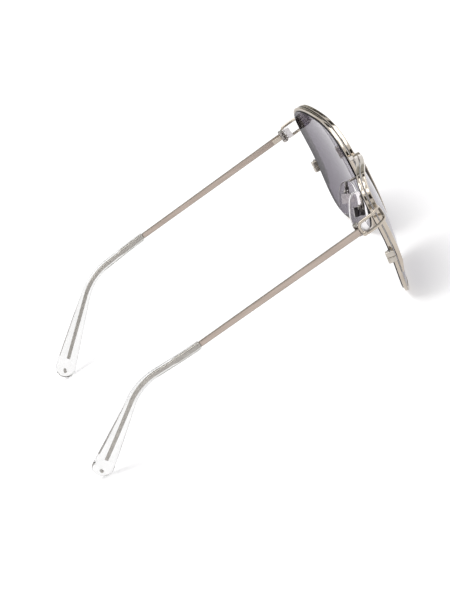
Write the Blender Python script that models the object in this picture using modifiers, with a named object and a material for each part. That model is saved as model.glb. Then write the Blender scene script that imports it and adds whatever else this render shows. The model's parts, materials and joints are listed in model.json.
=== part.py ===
"""Metal-framed sunglasses that stand open on their rims and temple tips.

The part is in metres, +Z up. The front faces -Y and the temples run to +Y. The wearer's left is +X.
Each rim has its own frame, at the middle of the lens: X outward, Y rearward along the lens axis, Z up.
Each temple has its own frame on its hinge's axis: X outward, Y along the temple, Z along the hinge pin.
"""
import math

import bmesh
import bpy
import numpy as np

# Lens outline and curve
LENS_WIDTH = 0.0560
LENS_HEIGHT = 0.0522
LENS_BASE_RADIUS = 0.132
LENS_THICKNESS = 0.0018
LENS_SQUARENESS = 3.48
TEMPORAL_TAPER_SHARE = 0.14
NASAL_TAPER_SHARE = 0.12
BROW_RISE = 0.0039
BEVEL_HEIGHT = 0.00075
BEVEL_WIDTH = 0.0007
LENS_RING_SHARES = (0.30, 0.58, 0.82, 1.0)

# Set of the front
NOSE_GAP = 0.0180
WRAP_DEGREES = 8.5
FRONT_TILT_DEGREES = 5.5

# Gaps
SEAT_GAP = 0.00025
SCREW_GAP = 0.0001
BORE_CLEARANCE = 0.00007

# Eyewire and its trim
EYEWIRE_DEPTH = 0.0015
EYEWIRE_SETBACK = 0.0006
EYEWIRE_OUTER = 0.0010
EYEWIRE_INNER = 0.0005
EYEWIRE_EDGE = 0.0002
GROOVE_DEPTH = 0.0008
GROOVE_WIDTH = 0.0010
EYEWIRE_STATIONS = 56
TRIM_DEPTH = 0.0018
TRIM_OUTER = 0.0011
TRIM_INNER = 0.0002
TRIM_EDGE = 0.0003
TRIM_LOW_HEIGHT = 0.0125
TRIM_END_TAPER = 0.0050
TRIM_END_DEPTH = 0.0006
TRIM_STATIONS = 46
CORNER_CROWDING = 0.012

# Rim lock
LOCK_BELOW_CENTRE = 0.0034
LOCK_HEIGHT = 0.0050
LOCK_SPLIT = 0.0003
LOCK_WIDTH = 0.0020
LOCK_DEPTH = 0.0036
LOCK_EDGE = 0.0005
LOCK_SCREW_DEPTH_SHARE = 0.45
LOCK_SCREW_RADIUS = 0.00045
LOCK_SCREW_HEAD_RADIUS = 0.00085
LOCK_SCREW_HEAD_HEIGHT = 0.0005

# Bridge
BRIDGE_ABOVE_CENTRE = 0.0125
BRIDGE_DEPTH = 0.0036
BRIDGE_THICKNESS = 0.0020
BRIDGE_EDGE = 0.0005
BRIDGE_RISE = 0.0026
BRIDGE_ADVANCE = 0.0010
BRIDGE_STATIONS = 17

# Temple frame and hinge
HINGE_ABOVE_CENTRE = 0.0148
HINGE_BEHIND_RIM = 0.0070
TEMPLE_SLOPE_DEGREES = 5.6
HINGE_HEIGHT = 0.0048
HINGE_MIDDLE_HEIGHT = 0.0020
KNUCKLE_RADIUS = 0.00125
KNUCKLE_GAP = 0.00015
HINGE_PIN_RADIUS = 0.00062
HINGE_HEAD_RADIUS = 0.00115
HINGE_HEAD_HEIGHT = 0.0006
SCREW_SLOT_WIDTH = 0.00035
SCREW_SLOT_DEPTH = 0.00025
LEAF_THICKNESS = 0.0006
LEAF_INSET = 0.0001
FRONT_LEAF_LENGTH = 0.0040
TEMPLE_LEAF_LENGTH = 0.0052
RIVET_RADIUS = 0.0003
RIVET_HEAD_RADIUS = 0.0010
RIVET_HEAD_HEIGHT = 0.0007
RIVET_DOME_DEGREES = 60.0
RIVET_DOME_STATIONS = 4
RIVET_CORNER_DEGREES = 40.0

# End piece loop
LOOP_HEIGHT = 0.0066
LOOP_ABOVE_HINGE = 0.0003
LOOP_WIRE_WIDTH = 0.0012
LOOP_WIRE_THICKNESS = 0.0011
LOOP_WIRE_EDGE = 0.00025
LOOP_CORNER_RADIUS = 0.0020
LOOP_LENGTH = 0.0142
LOOP_STRAIGHT = 0.0066
LOOP_BEND_RADIUS = 0.0046
LOOP_BEND_DEGREES = 75.0
LOOP_CORNER_STEPS = 4
LOOP_BAR_STEPS = 6

# Temple
TEMPLE_METAL_LENGTH = 0.0755
TEMPLE_BEND_START = 0.0958
TEMPLE_BEND_RADIUS = 0.025
TEMPLE_BEND_DEGREES = 36.9
TEMPLE_THICKNESS = 0.0010
TEMPLE_FRONT_HEIGHT = 0.0030
TEMPLE_REAR_HEIGHT = 0.0024
TEMPLE_EDGE = 0.00025
TOE_IN = 0.0130
TOE_IN_START = 0.078
TOE_IN_POWER = 1.4
TEMPLE_LEAN_DEGREES = 0.75

# Core wire and clear tip
CORE_FRONT_HEIGHT = 0.0020
CORE_REAR_HEIGHT = 0.0015
CORE_THICKNESS = 0.0009
CORE_FRONT_LENGTH = 0.0110
CORE_STEP_LENGTH = 0.0020
CORE_STOP = 0.0080
CORE_CLEARANCE = 0.0002
TIP_FRONT_HEIGHT = 0.0036
TIP_BEND_HEIGHT = 0.0043
TIP_PADDLE_WIDTH = 0.0090
TIP_PADDLE_END = 0.0042
TIP_FRONT_THICKNESS = 0.0026
TIP_THICKNESS = 0.0031
TIP_FRONT_ROUNDING = 0.0008
TIP_ROUNDNESS = 2.8
TIP_SECTION_POINTS = 14
BEND_STATIONS = 6
REAR_STATIONS = 7
PADDLE_STATIONS = 6
STUD_RADIUS = 0.0007
STUD_FROM_END = 0.0027
STUD_INSET = 0.0002

# Nose pad
PAD_PIVOT_OFFSET = 0.0114
PAD_PIVOT_BELOW_CENTRE = 0.0003
PAD_PIVOT_SETBACK = 0.00415
PAD_TURN_DEGREES = 80.0
PAD_FLARE_DEGREES = 5.0
PAD_LEAN_DEGREES = 21.0
PAD_HEIGHT = 0.0150
PAD_WIDTH = 0.0078
PAD_THICKNESS = 0.0022
PAD_SQUARENESS = 2.8
PAD_DROP = 0.0013
PAD_TAPER_SHARE = 0.16
PAD_POINTS = 24
PAD_RING_SHARES = ((0.0, 0.86), (0.16, 0.97), (0.45, 1.0), (0.78, 0.88), (0.95, 0.56))
PLATE_HEIGHT = 0.0042
PLATE_WIDTH = 0.0049
PLATE_THICKNESS = 0.0006
PLATE_STANDOFF = 0.0018
PLATE_DROP = 0.0020
RIB_COUNT = 3
RIB_WIDTH = 0.00035
RIB_HEIGHT = 0.0004
RIB_SPACING = 0.0006
RIB_MARGIN = 0.00015
EYE_RADIUS = 0.0009
EYE_THICKNESS = 0.0005
BOX_WALL = 0.0004
BOX_SIDE_GAP = 0.00015
BOX_HEIGHT = 0.0024
BOX_FRONT = 0.0010
BOX_DEPTH = 0.0030
PAD_SCREW_RADIUS = 0.0004
PAD_SCREW_HEAD_RADIUS = 0.0007
PAD_SCREW_HEAD_HEIGHT = 0.0004
ARM_RADIUS = 0.00055
ARM_ROOT_ABOVE_CENTRE = 0.0036
ARM_REACH = 0.0036
ARM_BULGE = 0.0022
ARM_DROP_SHARE = 0.45
ARM_BEHIND_SHARE = 0.6
ARM_CREST_SHARE = 0.7

# Facets
OUTLINE_SAMPLES = 1440
ROUND_STEPS = 20
SMALL_ROUND_STEPS = 16
SMOOTH_DEGREES = 40.0
TURN_MERGE = 0.00001
CUT_OVERRUN = 0.0010

SIDES = {"left": 1, "right": -1}


def clear_scene():
    for item in list(bpy.data.objects):
        bpy.data.objects.remove(item, do_unlink=True)


def make_collection(name):
    collection = bpy.data.collections.new(name)
    bpy.context.scene.collection.children.link(collection)
    return collection


def surface(name, colour, roughness, metallic, transmission=0.0, alpha=1.0):
    material = bpy.data.materials.new(name)
    material.use_nodes = True
    shader = material.node_tree.nodes["Principled BSDF"]
    shader.inputs["Base Color"].default_value = (*colour, 1.0)
    shader.inputs["Roughness"].default_value = roughness
    shader.inputs["Metallic"].default_value = metallic
    shader.inputs["Transmission Weight"].default_value = transmission
    shader.inputs["Alpha"].default_value = alpha
    return material


def silver_metal():
    return surface("warm_silver", (0.62, 0.57, 0.50), 0.18, 1.0)


def dark_metal():
    return surface("dark_ribbed_metal", (0.20, 0.19, 0.18), 0.30, 1.0)


def tinted_lens():
    return surface("grey_lilac_lens", (0.26, 0.24, 0.27), 0.05, 0.0, alpha=0.75)


def clear_acetate():
    return surface("clear_acetate", (0.92, 0.91, 0.90), 0.08, 0.0, transmission=0.9, alpha=0.4)


def clear_silicone():
    return surface("clear_silicone", (0.90, 0.90, 0.90), 0.25, 0.0, transmission=0.8, alpha=0.45)


def make_empty(name, location, rotation, parent):
    empty = bpy.data.objects.new(name, None)
    parts.objects.link(empty)
    empty.location = location
    empty.rotation_euler = rotation
    empty.parent = parent
    return empty


def finish_mesh(item):
    mesh = item.data
    mesh.shade_smooth()
    mesh.set_sharp_from_angle(angle=math.radians(SMOOTH_DEGREES))


def make_piece(name, mesh, material, parent):
    item = bpy.data.objects.new(name, mesh)
    parts.objects.link(item)
    item.parent = parent
    mesh.materials.clear()
    mesh.materials.append(material)
    finish_mesh(item)
    return item


def make_cutter(name, mesh, parent):
    item = bpy.data.objects.new(name, mesh)
    cutters.objects.link(item)
    item.parent = parent
    item.hide_render = True
    item.display_type = "WIRE"
    return item


def combine(item, other, operation):
    modifier = item.modifiers.new(operation.lower(), "BOOLEAN")
    modifier.operation = operation
    modifier.solver = "EXACT"
    modifier.object = other


def bevel_edges(item, width, segments=1):
    modifier = item.modifiers.new("bevel", "BEVEL")
    modifier.width = width
    modifier.segments = segments
    modifier.limit_method = "ANGLE"


def skin(name, rings, closed=False, poles=()):
    """Join rings of points, each to the next; the ends close on a pole each, or on a flat cap."""
    rings = np.asarray(rings, dtype=float)
    ring_count, size, _ = rings.shape
    corners = [tuple(point) for point in rings.reshape(-1, 3)] + [tuple(pole) for pole in poles]
    faces = []
    for ring in range(ring_count if closed else ring_count - 1):
        near = ring * size
        far = (ring + 1) % ring_count * size
        for k in range(size):
            after = (k + 1) % size
            faces.append((near + k, near + after, far + after, far + k))
    last = (ring_count - 1) * size
    if poles:
        first_pole = ring_count * size
        for k in range(size):
            after = (k + 1) % size
            faces.append((first_pole, after, k))
            faces.append((first_pole + 1, last + k, last + after))
    elif not closed:
        faces.append(tuple(range(size)))
        faces.append(tuple(range(last + size - 1, last - 1, -1)))
    mesh = bpy.data.meshes.new(name)
    mesh.from_pydata(corners, [], faces)
    shape = bmesh.new()
    shape.from_mesh(mesh)
    bmesh.ops.recalc_face_normals(shape, faces=shape.faces)
    shape.to_mesh(mesh)
    shape.free()
    return mesh


def block(name, low, high):
    """A box between two corners, from the primitive cube."""
    low, high = np.minimum(low, high), np.maximum(low, high)
    shape = bmesh.new()
    bmesh.ops.create_cube(shape, size=1)
    for vertex in shape.verts:
        vertex.co = (low + high) / 2 + (high - low) * np.array(vertex.co)
    mesh = bpy.data.meshes.new(name)
    shape.to_mesh(mesh)
    shape.free()
    return mesh


def cylinder(name, radius, low, high, steps=ROUND_STEPS):
    """A round bar along Z between two heights, from the cone primitive."""
    shape = bmesh.new()
    bmesh.ops.create_cone(shape, cap_ends=True, segments=steps, radius1=radius, radius2=radius,
                          depth=high - low)
    bmesh.ops.translate(shape, verts=shape.verts, vec=(0, 0, (low + high) / 2))
    mesh = bpy.data.meshes.new(name)
    shape.to_mesh(mesh)
    shape.free()
    return mesh


def make_turned_piece(name, profile, material, parent, steps=ROUND_STEPS):
    """A profile of (height, radius) points, closed to the Z axis at both ends and turned about it."""
    (bottom, _), (top, _) = profile[0], profile[-1]
    points = [(0, 0, bottom)] + [(radius, 0, height) for height, radius in profile] + [(0, 0, top)]
    mesh = bpy.data.meshes.new(name)
    mesh.from_pydata(points, [(k, k + 1) for k in range(len(points) - 1)], [])
    item = make_piece(name, mesh, material, parent)
    modifier = item.modifiers.new("turn", "SCREW")
    modifier.steps = modifier.render_steps = steps
    modifier.use_merge_vertices = True
    modifier.merge_threshold = TURN_MERGE
    modifier.use_normal_flip = True
    return item


def put_at(item, location, rotation=(0, 0, 0)):
    item.location = location
    item.rotation_euler = rotation
    return item


def along_x(side=1):
    """The rotation that lays an object's Z axis outward along X."""
    return (0, side * math.pi / 2, 0)


def chamfered_box_section(low, high, edge):
    """Eight corner points of a rectangle with cut corners, counter-clockwise."""
    (x0, y0), (x1, y1) = low, high
    return np.array([(x1, y0 + edge), (x1, y1 - edge), (x1 - edge, y1), (x0 + edge, y1),
                     (x0, y1 - edge), (x0, y0 + edge), (x0 + edge, y0), (x1 - edge, y0)])


def superellipse(half_width, half_height, power, angles):
    """Points of a rounded square: each coordinate is a power of the cosine or sine."""
    cosine, sine = np.cos(angles), np.sin(angles)
    share = 2 / power
    x = half_width * np.sign(cosine) * np.abs(cosine) ** share
    y = half_height * np.sign(sine) * np.abs(sine) ** share
    return x, y


def turn_x(angle):
    c, s = math.cos(angle), math.sin(angle)
    return np.array([(1, 0, 0), (0, c, -s), (0, s, c)])


def turn_z(angle):
    c, s = math.cos(angle), math.sin(angle)
    return np.array([(c, -s, 0), (s, c, 0), (0, 0, 1)])


class Outline:
    """The lens outline in its own plane, from the outer side up and over, with outward normals."""

    def __init__(self):
        angles = np.arange(OUTLINE_SAMPLES) * 2 * math.pi / OUTLINE_SAMPLES
        half_width, half_height = LENS_WIDTH / 2, LENS_HEIGHT / 2
        u, v = superellipse(half_width, half_height, LENS_SQUARENESS, angles)
        taper = np.where(u > 0, TEMPORAL_TAPER_SHARE, NASAL_TAPER_SHARE)
        u = u * (1 - taper * (1 - v / half_height) / 2)
        v = v + BROW_RISE * (u / half_width) * (1 + v / half_height) / 2
        du = np.roll(u, -1) - np.roll(u, 1)
        dv = np.roll(v, -1) - np.roll(v, 1)
        length = np.hypot(du, dv)
        self.u, self.v = u, v
        self.normal_u, self.normal_v = dv / length, -du / length
        heading = np.unwrap(np.arctan2(self.normal_v, self.normal_u))
        step = np.hypot(np.diff(u, append=u[0]), np.diff(v, append=v[0]))
        turning = np.abs(np.diff(heading, append=heading[0] + 2 * math.pi))
        self.arc = np.concatenate([[0.0], np.cumsum(step)])
        self.pace = np.concatenate([[0.0], np.cumsum(step + CORNER_CROWDING * turning)])
        self.length = self.arc[-1]

    def arc_at_height(self, height, outer):
        """Arc length where the outer or nasal side passes a height."""
        on_side = (self.u > 0) == outer
        miss = np.where(on_side, np.abs(self.v - height), self.length)
        return self.arc[int(np.argmin(miss))]

    def pace_at(self, arc):
        turns = math.floor(arc / self.length)
        return turns * self.pace[-1] + np.interp(arc - turns * self.length, self.arc, self.pace)

    def stations(self, start, end, count):
        """Places from one arc length to another, closer together round the corners."""
        pace = np.linspace(self.pace_at(start), self.pace_at(end), count)
        turns = np.floor(pace / self.pace[-1])
        arcs = np.interp(pace - turns * self.pace[-1], self.pace, self.arc) + turns * self.length
        return arcs, self.at(arcs)

    def at(self, arcs):
        """Point and outward normal at each arc length."""
        wrapped = np.mod(arcs, self.length)
        values = []
        for row in (self.u, self.v, self.normal_u, self.normal_v):
            values.append(np.interp(wrapped, self.arc, np.append(row, row[0])))
        return values


def lens_sag(u, v):
    """How far the rear of the lens falls back from its middle: the height of a sphere's cap."""
    return LENS_BASE_RADIUS - np.sqrt(LENS_BASE_RADIUS ** 2 - u ** 2 - v ** 2)


def rim_rings(places, section, side):
    """A section of (outward, rearward) points carried along the outline, one ring for each place."""
    u, v, normal_u, normal_v = places
    outward, rearward = section[..., 0], section[..., 1]
    x = side * (u[:, None] + normal_u[:, None] * outward)
    y = lens_sag(u, v)[:, None] + rearward
    z = v[:, None] + normal_v[:, None] * outward
    return np.stack(np.broadcast_arrays(x, y, z), axis=-1)


def rim_turn(side):
    return turn_z(side * math.radians(WRAP_DEGREES)) @ turn_x(math.radians(FRONT_TILT_DEGREES))


def rim_centre(side):
    return np.array([side * (NOSE_GAP + LENS_WIDTH) / 2, 0, front_height])


def front_bottom():
    """Height of the rim's lowest point below the middle of the lens."""
    rear = -EYEWIRE_SETBACK
    section = np.array([(EYEWIRE_OUTER, rear), (EYEWIRE_OUTER, rear - EYEWIRE_DEPTH)])
    rings = rim_rings(outline.at(outline.arc[:-1]), section, 1) @ rim_turn(1).T
    return rings[..., 2].min()


def make_eyewire(side_name, side, parent):
    rear = -EYEWIRE_SETBACK
    front = rear - EYEWIRE_DEPTH
    middle = (rear + front) / 2
    apex = GROOVE_DEPTH - EYEWIRE_INNER
    section = np.array([
        (EYEWIRE_OUTER, front + EYEWIRE_EDGE), (EYEWIRE_OUTER, rear - EYEWIRE_EDGE),
        (EYEWIRE_OUTER - EYEWIRE_EDGE, rear), (-EYEWIRE_INNER, rear),
        (-EYEWIRE_INNER, middle + GROOVE_WIDTH / 2), (apex, middle),
        (-EYEWIRE_INNER, middle - GROOVE_WIDTH / 2), (-EYEWIRE_INNER, front),
        (EYEWIRE_OUTER - EYEWIRE_EDGE, front)])
    lock = outline.arc_at_height(-LOCK_BELOW_CENTRE, True)
    start = lock + LOCK_SPLIT / 2
    end = lock + outline.length - LOCK_SPLIT / 2
    _, places = outline.stations(start, end, EYEWIRE_STATIONS)
    mesh = skin(side_name + "_eyewire", rim_rings(places, section, side))
    return make_piece(side_name + "_eyewire", mesh, metal, parent)


def make_rim_trim(side_name, side, parent):
    start = outline.arc_at_height(-TRIM_LOW_HEIGHT, True) - outline.length
    end = outline.arc_at_height(-TRIM_LOW_HEIGHT, False)
    arcs, places = outline.stations(start, end, TRIM_STATIONS)
    rear = -EYEWIRE_SETBACK - EYEWIRE_DEPTH - SEAT_GAP
    from_end = np.minimum(arcs - start, end - arcs)
    depth = np.interp(from_end, (0, TRIM_END_TAPER), (TRIM_END_DEPTH, TRIM_DEPTH))
    shape = chamfered_box_section((-TRIM_INNER, -1), (TRIM_OUTER, 0), 0)
    section = np.repeat(shape[None], len(arcs), axis=0)
    section[:, (0, 5), 1] = (TRIM_EDGE / depth - 1)[:, None]
    section[:, (1, 4), 1] = (-TRIM_EDGE / depth)[:, None]
    section[:, (2, 7), 0] = TRIM_OUTER - TRIM_EDGE
    section[:, (3, 6), 0] = TRIM_EDGE - TRIM_INNER
    section[:, :, 1] = rear + section[:, :, 1] * depth[:, None]
    mesh = skin(side_name + "_rim_trim", rim_rings(places, section, side))
    return make_piece(side_name + "_rim_trim", mesh, metal, parent)


def make_lens(side_name, side, parent):
    """Rear face, bevelled edge and front face as one run of rings between two poles."""
    _, (u, v, normal_u, normal_v) = outline.stations(0, outline.length, EYEWIRE_STATIONS + 1)
    u, v, normal_u, normal_v = (row[:-1] for row in (u, v, normal_u, normal_v))
    inset = EYEWIRE_INNER + SEAT_GAP
    edge_u, edge_v = u - normal_u * inset, v - normal_v * inset
    bevel_middle = lens_sag(u, v) - EYEWIRE_SETBACK - EYEWIRE_DEPTH / 2

    def ring(x, z, y):
        return np.stack([side * x, y, z], axis=-1)

    def face_rings(offset):
        return [ring(edge_u * share, edge_v * share, lens_sag(edge_u * share, edge_v * share) + offset)
                for share in LENS_RING_SHARES]

    apex_u, apex_v = edge_u + normal_u * BEVEL_HEIGHT, edge_v + normal_v * BEVEL_HEIGHT
    edge = [ring(edge_u, edge_v, bevel_middle + BEVEL_WIDTH / 2), ring(apex_u, apex_v, bevel_middle),
            ring(edge_u, edge_v, bevel_middle - BEVEL_WIDTH / 2)]
    rings = face_rings(0) + edge + face_rings(-LENS_THICKNESS)[::-1]
    mesh = skin(side_name + "_lens", rings, poles=((0, 0, 0), (0, -LENS_THICKNESS, 0)))
    return make_piece(side_name + "_lens", mesh, lens_material, parent)


def make_rim_lock(side_name, side, parent):
    """Two closing blocks, outside the eyewire's split, and the screw that draws them together."""
    arc = outline.arc_at_height(-LOCK_BELOW_CENTRE, True)
    u, v, normal_u, normal_v = (float(value[0]) for value in outline.at(np.array([arc])))
    lean = -math.atan2(normal_v, normal_u)
    place = (side * u, float(lens_sag(u, v)), v)
    seat = make_empty(side_name + "_rim_lock_seat", place, (0, side * lean, 0), parent)
    inner = EYEWIRE_OUTER + SEAT_GAP
    outer = inner + LOCK_WIDTH
    front = -EYEWIRE_SETBACK - EYEWIRE_DEPTH
    rear = front + LOCK_DEPTH
    top, split = LOCK_HEIGHT / 2, LOCK_SPLIT / 2
    screw_x, screw_y = side * (inner + outer) / 2, front + LOCK_DEPTH * LOCK_SCREW_DEPTH_SHARE
    bore_radius = LOCK_SCREW_RADIUS + SCREW_GAP
    reach = top + CUT_OVERRUN
    bore = make_cutter(side_name + "_rim_lock_bore",
                       cylinder("bore", bore_radius, -reach, reach, SMALL_ROUND_STEPS), seat)
    put_at(bore, (screw_x, screw_y, 0))
    for label, low, high in (("upper", split, top), ("lower", -top, -split)):
        name = side_name + "_rim_lock_" + label
        mesh = block(name, (side * inner, front, low), (side * outer, rear, high))
        item = make_piece(name, mesh, metal, seat)
        bevel_edges(item, LOCK_EDGE, 2)
        combine(item, bore, "DIFFERENCE")
    head_low = top + SCREW_GAP
    stations = ((-top, LOCK_SCREW_RADIUS), (head_low, LOCK_SCREW_RADIUS),
                (head_low, LOCK_SCREW_HEAD_RADIUS),
                (head_low + LOCK_SCREW_HEAD_HEIGHT, LOCK_SCREW_HEAD_RADIUS))
    screw = make_turned_piece(side_name + "_rim_lock_screw", stations, metal, seat, SMALL_ROUND_STEPS)
    put_at(screw, (screw_x, screw_y, 0))


def rim_point(side, arc, outward, rearward):
    """A point of the rim, in the world."""
    u, v, normal_u, normal_v = outline.at(np.array([arc]))
    local = rim_rings((u, v, normal_u, normal_v), np.array([(outward, rearward)]), side)[0, 0]
    return rim_turn(side) @ local + rim_centre(side)


def make_bridge(parent):
    """An arched bar whose level ends meet the nasal sides of both rims."""
    arc = outline.arc_at_height(BRIDGE_ABOVE_CENTRE, False)
    rearward = -EYEWIRE_SETBACK - BRIDGE_DEPTH / 2
    outward = max(EYEWIRE_OUTER, TRIM_OUTER) + SEAT_GAP
    half = BRIDGE_THICKNESS / 2
    near = [rim_point(1, arc + shift, outward, rearward + BRIDGE_DEPTH / 2 * depth)
            for shift in (-half, half) for depth in (-1, 1)]
    end = min(point[0] for point in near)
    seat = rim_point(1, arc, outward, rearward)
    x = np.linspace(end, -end, BRIDGE_STATIONS)
    lift = (1 + np.cos(math.pi * x / end)) / 2
    centre = np.stack([x, seat[1] - BRIDGE_ADVANCE * lift, seat[2] + BRIDGE_RISE * lift], axis=-1)
    slope = -BRIDGE_RISE * math.pi / end / 2 * np.sin(math.pi * x / end)
    run = np.hypot(1, slope)
    upward = np.stack([-slope / run, np.zeros_like(x), 1 / run], axis=-1)
    section = chamfered_box_section((-BRIDGE_DEPTH / 2, -half), (BRIDGE_DEPTH / 2, half), BRIDGE_EDGE)
    rearward_axis = np.array([0, 1, 0])
    rings = (centre[:, None] + section[None, :, 0, None] * rearward_axis
             + section[None, :, 1, None] * upward[:, None])
    make_piece("bridge", skin("bridge", rings), metal, parent)


def loop_plan(distance):
    """Plan position and outward normal of the end piece at a distance forward of the hinge axis."""
    limit = math.radians(LOOP_BEND_DEGREES)
    angle = np.clip((distance - LOOP_STRAIGHT) / LOOP_BEND_RADIUS, 0, limit)
    beyond = np.maximum(distance - LOOP_STRAIGHT - LOOP_BEND_RADIUS * limit, 0)
    before = np.minimum(distance, LOOP_STRAIGHT)
    x = loop_centre_x - LOOP_BEND_RADIUS * (1 - np.cos(angle)) - beyond * np.sin(angle)
    y = -before - LOOP_BEND_RADIUS * np.sin(angle) - beyond * np.cos(angle)
    return x, y, np.cos(angle), -np.sin(angle)


def loop_inner_reach():
    """How far outside the hinge axis the inner face of the loop's front bar lies (negative inside)."""
    x, _, normal_x, _ = loop_plan(np.array([SEAT_GAP / 2 + LOOP_LENGTH]))
    return float(x[0] - normal_x[0] * LOOP_WIRE_THICKNESS / 2)


def rounded_loop():
    """Centre line of the loop: (distance forward, height) and the direction away from its middle."""
    half_wire = LOOP_WIRE_WIDTH / 2
    rear = SEAT_GAP / 2 + half_wire
    front = SEAT_GAP / 2 + LOOP_LENGTH - half_wire
    top = LOOP_HEIGHT / 2 - half_wire
    radius = LOOP_CORNER_RADIUS
    corners = ((front - radius, top - radius, 0), (rear + radius, top - radius, 1),
               (rear + radius, radius - top, 2), (front - radius, radius - top, 3))
    points, away = [], []
    for index, (cx, cz, quarter) in enumerate(corners):
        for angle in (quarter + np.linspace(0, 1, LOOP_CORNER_STEPS + 1)) * math.pi / 2:
            points.append((cx + radius * math.cos(angle), cz + radius * math.sin(angle)))
            away.append((math.cos(angle), math.sin(angle)))
        next_x = corners[(index + 1) % len(corners)][0]
        is_bar = index % 2 == 0
        for _ in range(1, LOOP_BAR_STEPS if is_bar else 1):
            points.append((points[-1][0] + (next_x - cx) / LOOP_BAR_STEPS, points[-1][1]))
            away.append(away[-1])
    return np.array(points), np.array(away)


def make_end_piece(side_name, side, parent):
    """A closed loop of flat wire, bent in plan so that its front bar lies on the corner of the rim."""
    points, away = rounded_loop()
    x, y, normal_x, normal_y = loop_plan(points[:, 0])
    centre = np.stack([x, y, points[:, 1] + LOOP_ABOVE_HINGE], axis=-1)
    face_normal = np.stack([normal_x, normal_y, np.zeros_like(x)], axis=-1)
    forward = np.stack([normal_y, -normal_x, np.zeros_like(x)], axis=-1)
    across = away[:, :1] * forward + away[:, 1:] * np.array([0, 0, 1])
    half_width, half_thickness = LOOP_WIRE_WIDTH / 2, LOOP_WIRE_THICKNESS / 2
    section = chamfered_box_section((-half_width, -half_thickness), (half_width, half_thickness),
                                    LOOP_WIRE_EDGE)
    rings = (centre[:, None] + section[None, :, 0, None] * across[:, None]
             + section[None, :, 1, None] * face_normal[:, None])
    rings[..., 0] *= side
    name = side_name + "_end_piece"
    item = make_piece(name, skin(name, rings, closed=True), metal, parent)
    combine(item, rivet_bore(name, side, parent), "DIFFERENCE")


def rivet_bore(label, side, parent):
    """Cutter for the rivet's hole through the leaf and the loop."""
    outer = loop_centre_x + LOOP_WIRE_THICKNESS / 2 + CUT_OVERRUN
    mesh = cylinder("bore", RIVET_RADIUS + SCREW_GAP, 0, outer, SMALL_ROUND_STEPS)
    return put_at(make_cutter(label + "_rivet_bore", mesh, parent), rivet_place(), along_x(side))


def leaf_face_x():
    """Outer face of both hinge leaves, just inside the knuckles' reach."""
    return KNUCKLE_RADIUS - LEAF_INSET


def knuckle_cutter(label, top, parent):
    return make_cutter(label + "_knuckle", cylinder("knuckle", KNUCKLE_RADIUS, -top, top), parent)


def make_front_leaf(side_name, side, parent):
    """A plate on the end piece with the upper and lower knuckles."""
    name = side_name + "_hinge_front_leaf"
    top = HINGE_HEIGHT / 2
    outer = leaf_face_x()
    inner = outer - LEAF_THICKNESS
    plate = block(name, (side * inner, -FRONT_LEAF_LENGTH, -top), (side * outer, 0, top))
    item = make_piece(name, plate, metal, parent)
    combine(item, knuckle_cutter(name, top, parent), "UNION")
    middle = HINGE_MIDDLE_HEIGHT / 2 + KNUCKLE_GAP
    room = KNUCKLE_RADIUS + SEAT_GAP
    reach = room + CUT_OVERRUN
    notch = block("notch", (-reach, -room, -middle), (reach, reach, middle))
    combine(item, make_cutter(name + "_notch", notch, parent), "DIFFERENCE")
    cut_pin_bore(item, name, parent)
    combine(item, rivet_bore(name, side, parent), "DIFFERENCE")


def rivet_place():
    """The rivet goes through the middle of the wire, in the loop's lower rear corner."""
    angle = math.radians(RIVET_CORNER_DEGREES)
    straight = LOOP_CORNER_RADIUS * (1 - math.cos(angle))
    corner = LOOP_HEIGHT / 2 - LOOP_WIRE_WIDTH / 2 - LOOP_CORNER_RADIUS
    low = corner + LOOP_CORNER_RADIUS * math.sin(angle)
    return 0, -(SEAT_GAP / 2 + LOOP_WIRE_WIDTH / 2 + straight), LOOP_ABOVE_HINGE - low


def cut_pin_bore(item, label, parent):
    reach = HINGE_HEIGHT / 2 + CUT_OVERRUN
    radius = HINGE_PIN_RADIUS + BORE_CLEARANCE
    bore = cylinder("bore", radius, -reach, reach)
    combine(item, make_cutter(label + "_pin_bore", bore, parent), "DIFFERENCE")


def make_hinge_rivet(side_name, side, parent):
    """Shank through the leaf and the loop's wire, with its round head on the wire's outer face."""
    inner = leaf_face_x() - LEAF_THICKNESS
    head = loop_centre_x + LOOP_WIRE_THICKNESS / 2 + SCREW_GAP
    stations = [(inner, RIVET_RADIUS), (head, RIVET_RADIUS)]
    for angle in np.linspace(0, math.radians(RIVET_DOME_DEGREES), RIVET_DOME_STATIONS):
        stations.append((head + RIVET_HEAD_HEIGHT * math.sin(angle), RIVET_HEAD_RADIUS * math.cos(angle)))
    rivet = make_turned_piece(side_name + "_hinge_rivet", stations, metal, parent, SMALL_ROUND_STEPS)
    put_at(rivet, rivet_place(), along_x(side))


def make_hinge_screw(side_name, parent):
    top = HINGE_HEIGHT / 2
    head = top + SCREW_GAP
    rounding = HINGE_HEAD_HEIGHT / 2
    stations = ((-top, HINGE_PIN_RADIUS), (head, HINGE_PIN_RADIUS), (head, HINGE_HEAD_RADIUS),
                (head + rounding, HINGE_HEAD_RADIUS),
                (head + HINGE_HEAD_HEIGHT, HINGE_HEAD_RADIUS - rounding))
    name = side_name + "_hinge_screw"
    item = make_turned_piece(name, stations, metal, parent)
    crown = head + HINGE_HEAD_HEIGHT
    half_slot = SCREW_SLOT_WIDTH / 2
    reach = HINGE_HEAD_RADIUS + CUT_OVERRUN
    slot = make_cutter(name + "_slot", block("slot", (-reach, -half_slot, crown - SCREW_SLOT_DEPTH),
                                             (reach, half_slot, crown + CUT_OVERRUN)), parent)
    combine(item, slot, "DIFFERENCE")


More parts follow.
